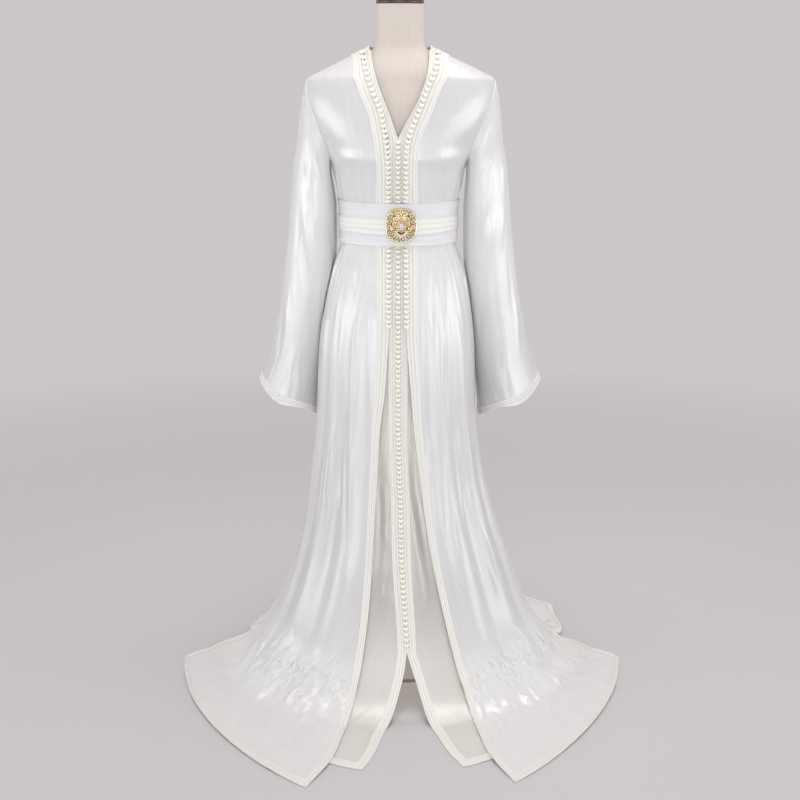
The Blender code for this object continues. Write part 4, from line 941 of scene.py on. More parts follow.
def satin(name, shade, warmth, painted=ALL_ALIKE, crumpled=()):
    """White satin: fine yarn, long soft creases, a broad sheen, and a crumpled bend."""
    light = (shade * (1.0 + 0.2 * warmth), shade, shade * (1.0 - warmth))
    dark = tuple(0.955 * c for c in light)
    look = Shader(name, light, 0.30, **{"Sheen Weight": 0.15, "Sheen Roughness": 0.4,
                                        "Anisotropic": 0.3, "IOR": 2.1,
                                        "Subsurface Weight": 0.3, "Subsurface Scale": 0.012,
                                        "Subsurface Radius": (1.0, 1.0, 1.0)})
    streaks = look.noise("UV", (150.0, 9.0, 1.0), 4.0)
    pleats = look.noise("UV", (70.0, 2.6, 1.0), 2.0)
    soft = look.noise("UV", (34.0, 12.0, 1.0), 2.0)
    yarn = look.wave("UV", (420.0, 420.0, 1.0), "DIAGONAL", 0.6)
    colour = look.ramp(streaks, 0.30, 0.70, dark, light)
    look.colour_from(look.shaded_down(colour, painted, warmth))
    layers = [(soft, 0.0006), (pleats, 0.0014), (streaks, 0.00016), (yarn, 0.00003)]
    if crumpled:
        creased = look.noise("UV", (70.0, 46.0, 1.0), 3.0, 0.5)
        layers.append((look.only_near(creased, crumpled), 0.0120))
    look.bump(*layers)
    return look.material


def braid_cloth(name):
    """Silk braid: cream cord with a fine twist and short stitches across it, with painted shade
    darkening it between its cords.
    """
    light, dark = (0.985, 0.975, 0.935), (0.80, 0.79, 0.73)
    look = Shader(name, light, 0.38, **{"Sheen Weight": 0.3, "Sheen Roughness": 0.5})
    twist = look.wave("UV", (520.0, 760.0, 1.0), "DIAGONAL", 1.5)
    uneven = look.noise("UV", (90.0, 40.0, 1.0), 3.0)
    cord = look.node("ShaderNodeAttribute", {"attribute_name": "cord"}).outputs["Fac"]
    # Painted shade: the colour darkens where the cords are low, between them.
    look.colour_from(look.ramp(cord, 0.0, 0.55, dark, light))
    look.bump((uneven, 0.0005), (twist, 0.00018))
    return look.material


def knot_cord(name):
    """Plump silk cord of the knots, ivory, with painted shade darkening its hollows."""
    look = Shader(name, (0.97, 0.945, 0.85), 0.32, **{"Sheen Weight": 0.3, "Sheen Roughness": 0.4})
    twist = look.wave("UV", (900.0, 900.0, 1.0), "DIAGONAL", 2.0)
    # Painted shade: ambient occlusion turns the cord golden brown in its hollows and between the
    # knots.
    hollow_shade = look.node("ShaderNodeAmbientOcclusion", Distance=0.006).outputs["AO"]
    look.colour_from(look.ramp(hollow_shade, 0.30, 0.92, (0.62, 0.52, 0.32), (0.98, 0.955, 0.86)))
    look.bump((twist, 0.00012))
    return look.material


def ribbed_white(name):
    look = Shader(name, (0.86, 0.86, 0.875), 0.5, **{"Sheen Weight": 0.3, "Sheen Roughness": 0.5})
    yarn = look.wave("UV", (700.0, 700.0, 1.0), "DIAGONAL", 1.0)
    uneven = look.noise("UV", (14.0, 140.0, 1.0), 3.0)
    look.colour_from(look.ramp(uneven, 0.3, 0.7, (0.80, 0.80, 0.82), (0.865, 0.865, 0.88)))
    look.bump((uneven, 0.0004), (yarn, 0.00008))
    return look.material


def pleated_cream(name):
    look = Shader(name, (0.86, 0.855, 0.80), 0.38, **{"Sheen Weight": 0.25,
                                                      "Sheen Roughness": 0.4})
    streaks = look.noise("UV", (8.0, 260.0, 1.0), 3.0)
    # Painted shade: ambient occlusion darkens the sash between and under its pleats.
    fold = look.node("ShaderNodeAmbientOcclusion", Distance=0.004).outputs["AO"]
    look.colour_from(look.ramp(fold, 0.45, 0.92, (0.62, 0.61, 0.56), (0.86, 0.855, 0.82)))
    look.bump((streaks, 0.0003))
    return look.material


GILT_METALLIC = 0.86


def gilt(name, colour, roughness, shade_colour):
    """Gilded metal, with painted shade darkening it in its hollows."""
    look = Shader(name, colour, roughness, GILT_METALLIC)
    # Painted shade: ambient occlusion turns the metal towards the darker colour given, in its
    # hollows.
    hollow_shade = look.node("ShaderNodeAmbientOcclusion", Distance=0.003).outputs["AO"]
    look.colour_from(look.ramp(hollow_shade, 0.42, 0.86, shade_colour, colour))
    look.bump((look.noise("Object", (900.0, 900.0, 900.0), 2.0), 0.00006))
    return look.material


def clear_stone(name):
    look = Shader(name, (0.93, 0.91, 0.97), 0.05, **{"Transmission Weight": 0.2, "IOR": 1.6,
                                                     "Coat Weight": 0.4})
    cloud = look.noise("Object", (260.0, 260.0, 260.0), 2.0)
    look.colour_from(look.ramp(cloud, 0.3, 0.7, (0.80, 0.76, 0.88), (0.96, 0.95, 0.99)))
    return look.material


def linen(name):
    light, dark = (0.81, 0.74, 0.675), (0.74, 0.67, 0.60)
    look = Shader(name, light, 0.85, **{"Sheen Weight": 0.2, "Sheen Roughness": 0.6})
    warp = look.wave("UV", (560.0, 1.0, 1.0), "X", 0.8)
    weft = look.wave("UV", (1.0, 560.0, 1.0), "Y", 0.8)
    slub = look.noise("UV", (340.0, 26.0, 1.0), 3.0)
    look.colour_from(look.ramp(slub, 0.3, 0.7, dark, light))
    look.bump((slub, 0.0003), (warp, 0.00012), (weft, 0.00012))
    return look.material


def wood(name):
    look = Shader(name, (0.045, 0.018, 0.010), 0.28, **{"Coat Weight": 0.5, "Coat Roughness": 0.12})
    rings = look.noise("Object", (90.0, 90.0, 8.0), 5.0)
    look.colour_from(look.ramp(rings, 0.35, 0.7, (0.020, 0.008, 0.005), (0.085, 0.035, 0.018)))
    look.bump((rings, 0.0002))
    return look.material


def steel(name):
    """Steel with a matt powder coat."""
    look = Shader(name, (0.50, 0.475, 0.45), 0.55)
    grain = look.noise("Object", (700.0, 700.0, 700.0), 2.0)
    look.colour_from(look.ramp(grain, 0.3, 0.7, (0.46, 0.435, 0.41), (0.53, 0.505, 0.48)))
    look.bump((grain, 0.00008))
    return look.material


# ------------------------------------------------------------------ panels
def arm_angle(down):
    """The angle of the front armhole seam, on either side."""
    return np.degrees(np.arcsin(np.minimum(ARMHOLE_AT(down) / HALF_WIDTH_AT(down), 1.0)))


def outer_hem_at(t, station):
    """Stations on the floor, a little short between an outer front's two corners."""
    short = 1.0 - 0.16 * np.sin(np.pi * t)
    return np.where(station < FLOOR_START, station,
                    FLOOR_START + (station - FLOOR_START) * short)


def inner_hem_at(t, station):
    """Stations on the floor, drawn in towards the sides, where the hem is shorter."""
    reach = mix(INNER_HEM, INNER_HEM_SIDE, t ** 1.5) - INNER_FLOOR_START
    on_floor = (station - INNER_FLOOR_START) * reach / (INNER_HEM - INNER_FLOOR_START)
    return np.where(station < INNER_FLOOR_START, station, INNER_FLOOR_START + on_floor)


def inner_edge_angle(side, down):
    centre = CENTRE_AT(down)
    at_neck = centre * step(down, 0.10, NECK_APEX) + side * INNER_NECK_AT[side](down)
    below = centre + side * SPREAD_AT[side](down)
    return side * angle_of(np.where(down < NECK_APEX, at_neck, below), down)


def outer_edge_angle(side, down):
    return np.abs(angle_of(side * OUTER_EDGE_AT[side](down), down))


class Front:
    """A front panel.  A row below 1 is a share of the yoke, from the shoulder to the
    underarm, and one above is 1 plus the metres of cloth below that."""

    def __init__(self, side, edge_angle, neck, hem_at):
        self.side, self.edge_angle, self.neck, self.hem_at = side, edge_angle, neck, hem_at

    def place(self, row, t):
        """Angle and down at a row and a share from the free edge to the side."""
        v, station = np.minimum(row, 1.0), YOKE_END + np.maximum(row - 1.0, 0.0)
        from_corner = np.minimum(v / NECK_CORNER, 1.0)
        held = np.maximum(v, NECK_CORNER)
        in_yoke = row < 1.0
        edge_down = mix(self.neck, YOKE_END, v)
        arm_down = mix(SHOULDER_END, YOKE_END, v)
        edge = mix(90.0, self.edge_angle(self.side, mix(self.neck, YOKE_END, held)), from_corner)
        arm = mix(90.0, arm_angle(mix(SHOULDER_END, YOKE_END, held)), from_corner)
        edge = np.where(in_yoke, edge, self.edge_angle(self.side, station))
        arm = np.where(in_yoke, arm, SIDE_SEAM_AT(station))
        down = np.where(in_yoke, mix(edge_down, arm_down, t), self.hem_at(t, station))
        return self.side * mix(edge, arm, t), down

    def width(self, row):
        """Metres of cloth across each row."""
        share = np.linspace(0.0, 1.0, 17)
        points = section(*self.place(row[:, None], share[None, :]))
        return np.linalg.norm(np.diff(points, axis=1), axis=-1).sum(axis=1)


class Back:
    """A back panel, with rows as a front's, and q from -1 at the left seam to 1."""

    def __init__(self, neck, hem_at, neck_share, opening):
        self.neck, self.hem_at, self.neck_share, self.opening = neck, hem_at, neck_share, opening

    def place(self, row, q):
        v, station = np.minimum(row, 1.0), YOKE_END + np.maximum(row - 1.0, 0.0)
        reach = np.abs(q)
        on_shoulder = np.maximum(reach - self.neck_share, 0.0) / (1.0 - self.neck_share)
        top_down = mix(self.neck, SHOULDER_END, on_shoulder)
        round_neck = 90.0 * np.minimum(reach / self.neck_share, 1.0)
        top_x = HALF_WIDTH_AT(top_down) * np.sin(np.radians(round_neck))
        across = mix(top_x / HALF_WIDTH_AT(SHOULDER_END), np.sin(np.radians(90.0 * reach)), v)
        arm_down = mix(SHOULDER_END, YOKE_END, v)
        down = mix(top_down, YOKE_END, v)
        x_share = np.minimum(ARMHOLE_AT(arm_down) * across / HALF_WIDTH_AT(down), 1.0)
        turned = np.where(v == 0.0, round_neck, np.degrees(np.arcsin(x_share)))
        seam = np.where(q > 0.0, self.seam_angle(-1, station), self.seam_angle(1, station))
        turned = np.where(row < 1.0, turned, (180.0 - seam) * reach)
        down = np.where(row < 1.0, down, self.hem_at(np.ones_like(reach), station))
        return 180.0 + np.sign(q) * turned, down

    def width(self, row):
        share = np.linspace(-1.0, 1.0, 25)
        points = section(*self.place(row[:, None], share[None, :]))
        return np.linalg.norm(np.diff(points, axis=1), axis=-1).sum(axis=1)

    def seam_angle(self, side, station):
        return SIDE_SEAM_AT(station) + (OPENING_AT[side](station) if self.opening else 0.0)


def outer(angle, down, out=0.0):
    return shell(angle, down, out + outer_relief(angle, down))


def inner(angle, down, out=0.0):
    return shell(angle, down, out + inner_relief(angle, down))


def rows_of(last, pitch, yoke_rows=56):
    """Rows from the shoulder to a last station, closer together near the shoulder."""
    yoke = np.linspace(0.0, 1.0, yoke_rows, endpoint=False) ** 1.6
    below = int(round((last - YOKE_END) / pitch))
    return np.concatenate((yoke, 1.0 + np.linspace(0.0, last - YOKE_END, below + 1)))


def row_at(station):
    return 1.0 + station - YOKE_END


def panel(name, place, rows, shares, surface, material):
    angle, down = place(rows[:, None], shares[None, :])
    relief = surface(angle, down)
    top, bottom = shell(angle, down, relief), shell(angle, down, relief - WALL)
    return cloth(name, top, bottom, grid_uv(top), material)


# The braid's section: share of its width, height of its cords there.
BRAID_SECTION = ((0.00, 0.0), (0.03, 0.7), (0.08, 1.0), (0.13, 0.7), (0.17, 0.05), (0.30, 0.05),
                 (0.34, 0.55), (0.39, 0.8), (0.44, 0.55), (0.48, 0.05), (0.62, 0.05),
                 (0.66, 0.55), (0.71, 0.8), (0.76, 0.55), (0.80, 0.05), (0.86, 0.1),
                 (0.90, 0.75), (0.95, 1.0), (0.98, 0.7), (1.00, 0.0))


BRAID_SHARES = np.array([row[0] for row in BRAID_SECTION])
BRAID_CORDS = np.array([row[1] for row in BRAID_SECTION])


def mark_cords(piece, heights):
    """Give a braid's points the height of its cords there, which its shader turns into painted shade
    between the cords.
    """
    marks = np.concatenate((heights.ravel(), heights.ravel())).astype(np.float32)
    piece.data.attributes.new("cord", "FLOAT", "POINT").data.foreach_set("value", marks)


def braid(name, place_at, alongs, surface, looks):
    """A flat braid with cords, over a surface; place_at(along, share) gives its places."""
    angle, down = place_at(alongs[:, None], BRAID_SHARES[None, :])
    relief = surface(angle, down)
    top = shell(angle, down, relief + SEAM + BRAID + CORD * BRAID_CORDS[None, :])
    bottom = shell(angle, down, relief + 0.5 * SEAM)
    piece = cloth(name, top, bottom, grid_uv(top), looks["braid"], sharp=70.0)
    mark_cords(piece, np.broadcast_to(BRAID_CORDS, relief.shape))
    return piece


# ------------------------------------------------------------------ gowns
def make_outer_front(side, name, looks):
    front = Front(side, outer_edge_angle, OUTER_NECK, outer_hem_at)
    gown = panel("gown_front_" + name, front.place, rows_of(HEM, 0.0085, 50),
                 np.linspace(0.0, 1.0, 125), outer_relief, looks["satin_gown"])
    stand_for("outer_front_" + name)

    def along_edge(row, share):
        station = YOKE_END + np.maximum(row - 1.0, 0.0)
        width = mix(BAND_WIDTH, BAND_WIDTH_LOW, step(station, 0.60, 0.90))
        return front.place(row, share * width / front.width(row[:, 0])[:, None])

    def along_hem(t, share):
        return front.place(row_at(HEM - TRIM_WIDTH * (1.0 - share)) + 0.0 * t, t)

    def along_slit(row, share):
        return front.place(row, 1.0 - (1.0 - share) * TRIM_WIDTH / front.width(row[:, 0])[:, None])

    edge = braid("front_braid_" + name, along_edge, rows_of(HEM, 0.005, 60), outer_relief, looks)
    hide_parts("outer_braid_" + name)
    at_hem = front.width(np.array([row_at(HEM)]))[0]
    hem = braid("hem_braid_" + name, along_hem,
                np.linspace(BAND_WIDTH_LOW / at_hem, 1.0, 130), outer_relief, looks)
    slit_rows = np.linspace(row_at(SLIT_START), row_at(HEM - TRIM_WIDTH), 120)
    slit = braid("slit_braid_" + name, along_slit, slit_rows, outer_relief, looks)
    declare(gown, edge, hem, slit)
    return front


def make_outer_back(looks):
    back = Back(OUTER_NECK, lambda t, station: station, 0.40, True)
    gown = panel("gown_back", back.place, rows_of(HEM, 0.0095, 44), np.linspace(-1.0, 1.0, 161),
                 outer_relief, looks["satin_gown"])
    stand_for("outer_back")

    def around_neck(q, share):
        return back.place(share * NECK_BAND_WIDTH / 0.20 + 0.0 * q, q + 0.0 * share)

    def along_hem(q, share):
        return back.place(row_at(HEM - TRIM_WIDTH * (1.0 - share)) + 0.0 * q, q)

    def along_slit(side):
        def place(row, share):
            inset = 2.0 * share * TRIM_WIDTH / back.width(row[:, 0])[:, None]
            return back.place(row, side * (1.0 - inset))
        return place

    neck = braid("neck_braid_back", around_neck, np.linspace(-0.40, 0.40, 90), outer_relief, looks)
    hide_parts("outer_braid_neck")
    hem = braid("hem_braid_back", along_hem, np.linspace(-1.0, 1.0, 200), outer_relief, looks)
    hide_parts("outer_braid_back")
    slit_rows = np.linspace(row_at(SLIT_START), row_at(HEM - TRIM_WIDTH), 120)
    slits = [braid("slit_braid_back_" + name, along_slit(side), slit_rows, outer_relief, looks)
             for side, name in ((-1, "left"), (1, "right"))]
    declare(gown, neck, hem, *slits)


def make_inner_front(side, name, looks):
    front = Front(side, inner_edge_angle, INNER_NECK, inner_hem_at)
    gown = panel("under_gown_front_" + name, front.place, rows_of(INNER_HEM, 0.008),
                 np.linspace(0.0, 1.0, 44), inner_relief, looks["satin_under"])
    stand_for("inner_front_" + name)

    def along_edge(row, share):
        station = np.where(row < 1.0, mix(INNER_NECK, YOKE_END, row), YOKE_END + row - 1.0)
        width = mix(NECK_BAND_WIDTH, PLACKET_WIDTH, step(station, 0.15, 0.25))
        return front.place(row, share * width / front.width(row[:, 0])[:, None])

    def along_hem(t, share):
        return front.place(row_at(INNER_HEM - TRIM_WIDTH * (1.0 - share)) + 0.0 * t, t)

    edge = braid("placket_braid_" + name, along_edge, rows_of(INNER_HEM, 0.005, 60), inner_relief,
                 looks)
    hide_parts("inner_braid_" + name)
    at_hem = front.width(np.array([row_at(INNER_HEM)]))[0]
    hem = braid("under_hem_braid_" + name, along_hem,
                np.linspace(PLACKET_WIDTH / at_hem, 1.0, 80), inner_relief, looks)
    declare(gown, edge, hem)
    return front


def make_inner_back(looks):
    back = Back(INNER_NECK, lambda t, station: inner_hem_at(t, station), 1.0 / 3.0, False)
    gown = panel("under_gown_back", back.place, rows_of(INNER_HEM, 0.010),
                 np.linspace(-1.0, 1.0, 61), inner_relief, looks["satin_under"])
    stand_for("inner_back")
    declare(gown)


# ------------------------------------------------------------------ sleeves
SLEEVE_AT = columns_of([(0.0, *(2.0 * np.array(SLEEVE[0]) - np.array(SLEEVE[1])))]
                       + [(k + 1.0, *row) for k, row in enumerate(SLEEVE)])


def armhole_points(side, turn, out):
    """The armhole seam: turn 0 at the shoulder, pi under the arm, the front half first."""
    down = mix(SHOULDER_END, YOKE_END, 0.5 - 0.5 * np.cos(turn))
    front = arm_angle(down)
    angle = side * np.where(turn <= np.pi, front, 180.0 - front)
    return outer(angle, down, out) + np.array([side * 2 * SEAM, 0.0, 0.0])


def sleeve_points(side, k, turn):
    """Points of a sleeve at k rings down it; the first ones keep the armhole's shape."""
    outer_x, outer_z, inner_x, inner_z, half_depth, centre_y = (at(k) for at in SLEEVE_AT)
    share = k / len(SLEEVE)
    like_armhole = np.maximum(1.0 - k / SLEEVE_HEAD_RINGS, 0.0)
    toward_outer = 0.5 + 0.5 * np.cos(turn)
    wave = 1.0 + SLEEVE_WAVE * share * np.cos(3.0 * turn + 0.8)
    z = mix(inner_z, outer_z, toward_outer)
    z = z + CUFF_WAVE * share ** 6 * np.sin(2.0 * np.pi * toward_outer)
    tube = np.stack((side * mix(inner_x, outer_x, toward_outer),
                     centre_y - half_depth * wave * np.sin(turn), z), axis=-1)
    drift = np.stack((side * SLEEVE_HEAD_OUT * toward_outer * k, 0.0 * k * turn,
                      -SLEEVE_HEAD_DROP * k + 0.0 * turn), axis=-1)
    head = armhole_points(side, turn + 0.0 * k, 0.0) + drift
    return clear_of_skirt(mix(tube, head, like_armhole[..., None]))


def clear_of_skirt(points):
    """Move the sleeve's points out of the skirt, level, to their least gap."""
    x, y, z = np.moveaxis(points, -1, 0)
    down = TOP_HEIGHT - z
    shift = SHIFT_AT(down)
    depth = np.where(y < 0.0, FRONT_AT(down), BACK_AT(down))
    across, through = (x - shift) / HALF_WIDTH_AT(down), y / depth
    share = np.hypot(across, through)
    angle = np.degrees(np.arctan2(across, -through))
    least = 1.0 + (SLEEVE_CLEAR + outer_relief(angle, down)) / depth
    push = np.where((down >= BELT_END) & (share < least), least / np.maximum(share, 0.1), 1.0)
    return np.stack((shift + (x - shift) * push, y * push, z), axis=-1)


def outward_normals(points):
    """Normals of a grid that is closed across."""
    along = np.gradient(points, axis=0)
    across = np.roll(points, -1, axis=1) - np.roll(points, 1, axis=1)
    return unit(np.cross(along, across))


def sleeve_relief(points, side, k):
    def surface(turns, ks):
        return sleeve_points(side, ks, np.radians(turns))
    return crease_height(points, SLEEVE_CREASES[side], surface) * step(k, 0.1, 1.2)


def make_sleeve(side, name, looks):
    turn = np.roll(np.linspace(0.0, 2.0 * np.pi, 96, endpoint=False)[::-side], 48)[None, :]
    k = np.concatenate((np.linspace(0.0, 3.0, 34, endpoint=False), np.linspace(3.0, 12.0, 90)))
    k = k[:, None]
    tube = sleeve_points(side, k, turn)
    away = outward_normals(tube)
    top = tube + away * sleeve_relief(tube, side, k)[..., None]
    bottom = top - WALL * away
    like_panel = (1.0 - step(0.5 - 0.5 * np.cos(turn), 0.45, 0.85))[0, :, None]
    bottom[0] = mix(bottom[0], armhole_points(side, turn[0], -WALL), like_panel)
    sleeve = cloth("gown_sleeve_" + name, top, bottom, grid_uv(top), looks["satin_sleeve"], True)
    stand_for("sleeve_" + name)
    cuff_k = np.interp(BRAID_SHARES, (0.0, 1.0), (11.04, 12.0))[:, None]
    around = np.linspace(0.0, 2.0 * np.pi, 200, endpoint=False)[::-side][None, :]
    cuff = sleeve_points(side, cuff_k, around)
    away = outward_normals(cuff)
    cuff = cuff + away * sleeve_relief(cuff, side, cuff_k)[..., None]
    raised = SEAM + BRAID + CORD * BRAID_CORDS[:, None, None]
    cuff_top, cuff_bottom = cuff + away * raised, cuff + away * 0.5 * SEAM
    uv = grid_uv(cuff_top)[..., ::-1]
    trim = cloth("cuff_trim_" + name, cuff_top, cuff_bottom, uv, looks["braid"], True, 70.0)
    mark_cords(trim, np.broadcast_to(BRAID_CORDS[:, None], cuff.shape[:2]))
    stand_for("cuff_braid_" + name)
    declare(sleeve, trim)


def make_armhole_cord(side, name, looks):
    """The cord sewn over the seam between a sleeve and the body."""
    turn = np.linspace(0.10 * np.pi, 1.90 * np.pi, 161)
    down = mix(SHOULDER_END, YOKE_END, 0.5 - 0.5 * np.cos(turn))
    front = arm_angle(down)
    angle = side * np.where(turn <= np.pi, front, 180.0 - front)
    from_end = 0.9 * np.pi - np.abs(turn - np.pi)
    seam = armhole_points(side, turn, 0.0) + ARMHOLE_CORD_OUT * normal(angle, down)
    cord = Gathered()
    cord.add_tube(seam, ARMHOLE_CORD * (0.3 + 0.7 * step(from_end, 0.0, 0.5)), 8)
    piece = cord.piece("armhole_cord_" + name, looks["satin"], 80.0)


# ------------------------------------------------------------------ knotted chains
def lobe(rings=7, sides=10):
    """Points and faces of one plump strand of a knot, of unit size, with a slight twist."""
    t = np.linspace(0.0, np.pi, rings + 2)[1:-1][:, None]
    turn = np.linspace(0.0, 2.0 * np.pi, sides, endpoint=False)[None, :]
    girth = np.sin(t) ** 0.8 * (1.0 + 0.07 * np.cos(3.0 * turn + 5.0 * np.cos(t)))
    points = np.stack((np.cos(t) + 0.0 * turn, girth * np.cos(turn), girth * np.sin(turn)), -1)
    return points.reshape(-1, 3), capped_faces(rings, sides)


def make_chain(name, node, middles, along, out, heights, looks):
    """Knots along a line; each is two plump strands that meet in a V pointing down."""
    unit_lobe, faces = lobe()
    across = unit(np.cross(along, out))
    rng = np.random.default_rng(len(name))
    chain = Gathered()
    for middle, a, x, o, height in zip(middles, along, across, out, heights):
        for hand in (-1.0, 1.0):
            lean = math.radians(38.0 + rng.uniform(-8.0, 8.0))
            length, thick = KNOT_STRAND
            strand = x * hand * math.cos(lean) - a * math.sin(lean)
            side = np.cross(o, strand)
            centre = (middle + x * hand * (0.5 * KNOT_WIDTH - 0.80 * length)
                      + o * (0.42 * height) + a * rng.uniform(-0.0002, 0.0002))
            size = unit_lobe * np.array([length, thick, 0.58 * height])
            chain.add(centre + size @ np.stack((strand, side, o)), faces)
    piece = chain.piece(name, looks["knots"], 80.0)
    stand_for(node)
    return piece


def edge_row(station, neck):
    return np.where(station < YOKE_END, (station - neck) / (YOKE_END - neck), row_at(station))


def make_chains(outer_fronts, inner_fronts, looks):
    """A chain along each outer front edge, and one over the inner gown's closing."""
    for side, name in ((-1, "right"), (1, "left")):
        count = int((SIDE_CHAIN_END - SIDE_CHAIN_START) / KNOT_PITCH)
        stations = SIDE_CHAIN_START + KNOT_PITCH * (np.arange(count) + 0.5)
        angle, down = outer_fronts[side].place(edge_row(stations, OUTER_NECK), 0.0 * stations)
        covered = (step(down, BELT_TOP - 0.012, BELT_TOP - 0.002)
                   - step(down, BELT_END + 0.002, BELT_END + 0.012))
        out = normal(angle, down)
        middles = outer(angle, down, SEAM + BRAID)
        along = unit(np.gradient(middles, axis=0))
        make_chain("knots_" + name, "chain_" + name, middles, along, out,
                   mix(KNOT_HEIGHT, KNOT_FLAT, covered), looks)
    count = int((CENTRE_CHAIN_END - 0.004 - CENTRE_CHAIN_START) / KNOT_PITCH)
    stations = CENTRE_CHAIN_START + KNOT_PITCH * (np.arange(count) + 0.5)
    row = edge_row(stations, INNER_NECK)
    places = [inner_fronts[side].place(row, 0.0 * stations) for side in (-1, 1)]
    angle, down = 0.5 * (places[0][0] + places[1][0]), stations
    middles = inner(angle, down, SEAM + BRAID)
    make_chain("knots_centre", "chain_centre", middles, unit(np.gradient(middles, axis=0)),
               normal(angle, down), np.full(count, KNOT_HEIGHT), looks)


# ------------------------------------------------------------------ belt and buckle
def belt_out(angle):
    turned_by = np.abs((angle + 180.0) % 360.0 - 180.0)
    return BELT_LIFT + BELT_FRONT_LIFT * np.exp(-(turned_by / BELT_FRONT_ANGLE) ** 2)


def make_band(angle, looks):
    """The wide belt, with fine ribs and a piping along both edges."""
    down = np.linspace(BELT_TOP, BELT_END, 85)[:, None]
    from_edge = np.minimum(down - BELT_TOP, BELT_END - down)
    piping = 0.0007 * np.exp(-((from_edge - 0.0012) / 0.0010) ** 2)
    rounded = -0.0008 * np.exp(-(from_edge / 0.0006) ** 2)
    ribs = RIB_HEIGHT * np.sin(2.0 * np.pi * (down - BELT_TOP) / RIB_PITCH)
    top = shell(angle, down, belt_out(angle) + BELT_THICKNESS + piping + rounded + ribs)
    lining = shell(angle, down, belt_out(angle) + 0.0 * down)
    band = cloth("belt_of_cloth", top, lining, grid_uv(top), looks["ribbed"], True)
    stand_for("belt_band")
    return band


def pleat_heights(shares):
    """Height of the sash's pleats over its base, at shares of its width."""
    raised = np.zeros(len(shares))
    for first, last, height in SASH_PLEATS:
        u = np.clip((shares - first) / (last - first), 0.0, 1.0)
        raised = np.maximum(raised, height * np.sin(np.pi * u ** 1.7) ** 0.55)
    return raised


def make_sash(angle, looks):
    """The pleated sash round the middle of the belt."""
    shares = np.linspace(0.0, 1.0, 73)
    to_front = np.maximum(np.cos(np.radians(angle)), 0.0)
    wave = 0.0012 * np.sin(np.radians(angle) * 5.0 + 0.9) + 0.0008 * np.sin(
        np.radians(angle) * 11.0)
    down = mix(SASH_TOP, mix(SASH_END_SIDE, SASH_END_FRONT, to_front), shares[:, None])
    down = down + wave * np.sin(np.pi * shares)[:, None]
    seat = belt_out(angle) + BELT_THICKNESS + RIB_HEIGHT + SEAM
    lining = shell(angle, down, seat + 0.0 * down)
    top = shell(angle, down, seat + SASH_BASE + pleat_heights(shares)[:, None])
    sash = cloth("belt_pleats", top, lining, grid_uv(top), looks["pleated"], True)
    stand_for("belt_sash")
    return sash


def make_belt(looks):
    angle = np.linspace(-180.0, 180.0, 150, endpoint=False)[None, :]
    band = make_band(angle, looks)
    sash = make_sash(angle, looks)
    declare(band)
    declare(sash)


def outline_share(x, z):
    """Where a point (in metres from the buckle's centre) is: 1 on its outline."""
    across, up = np.abs(x) / BUCKLE_HALF_WIDTH, np.abs(z) / BUCKLE_HALF_HEIGHT
    cut = BUCKLE_CUT[0] * across + BUCKLE_CUT[1] * up
    total = across ** BUCKLE_CORNER + up ** BUCKLE_CORNER + cut ** BUCKLE_CORNER
    return total ** (1.0 / BUCKLE_CORNER)


PLATE_AT, = columns_of(BUCKLE_PLATE)
BUCKLE_SEAT = (BELT_LIFT + BELT_FRONT_LIFT + BELT_THICKNESS + RIB_HEIGHT + 2 * SEAM + SASH_BASE
               + SASH_PLEATS[:, 2].max())


def on_buckle(x, z, out=0.0, seat_only=False):
    """A point of the buckle, from x and z in metres from its centre."""
    centre_x, centre_down = BUCKLE_CENTRE
    height = 0.0 if seat_only else PLATE_AT(outline_share(x, z))
    down = centre_down - z
    return shell(angle_of(centre_x + x, down), down, BUCKLE_SEAT + height + out)


def spiral(x, z, radius, first, sweep):
    share = np.linspace(0.0, 1.0, 26)
    turn = np.radians(first + sweep * share)
    size = radius * (1.0 - 0.78 * share)
    return x + size * np.cos(turn), z + size * np.sin(turn)


def leaf(x, z, heading, length, width):
    """A closed leaf that starts at a point; heading 0 is up and 90 to +x."""
    t = np.linspace(0.0, 1.0, 21)
    reach = length * (0.5 - 0.5 * np.cos(2.0 * np.pi * t))
    side = width * np.sin(2.0 * np.pi * t) * (0.35 + 0.65 * reach / length)
    turn = math.radians(heading)
    return (x + reach * math.sin(turn) + side * math.cos(turn),
            z + reach * math.cos(turn) - side * math.sin(turn))


def marquise(half_width, half_height, count):
    turn = np.linspace(0.0, 2.0 * np.pi, count)
    return half_width * np.sin(turn) * np.abs(np.sin(turn)) ** 0.6, half_height * np.cos(turn)


def buckle_outline():
    """x and z of the buckle's outline, in metres from its centre."""
    turn = np.linspace(0.0, 2.0 * np.pi, 96, endpoint=False)
    x, z = np.sin(turn), np.cos(turn)
    size = outline_share(x * BUCKLE_HALF_WIDTH, z * BUCKLE_HALF_HEIGHT)
    return x / size * BUCKLE_HALF_WIDTH, z / size * BUCKLE_HALF_HEIGHT


def make_plate(looks):
    """The buckle's domed plate, from its back round to its front."""
    edge_x, edge_z = buckle_outline()
    shares = np.concatenate(([0.25, 0.6], np.linspace(1.0, 0.02, 60)))
    rings = [on_buckle(edge_x * s, edge_z * s, 0.0, i < 2) for i, s in enumerate(shares)]
    rings.insert(2, on_buckle(edge_x, edge_z, 0.0, True))
    plate = Gathered()
    plate.add(np.array(rings).reshape(-1, 3), capped_faces(len(rings), len(edge_x), flip=True))
    base = plate.piece("buckle_plate", looks["gilt_dark"], 45.0)
    stand_for("buckle")


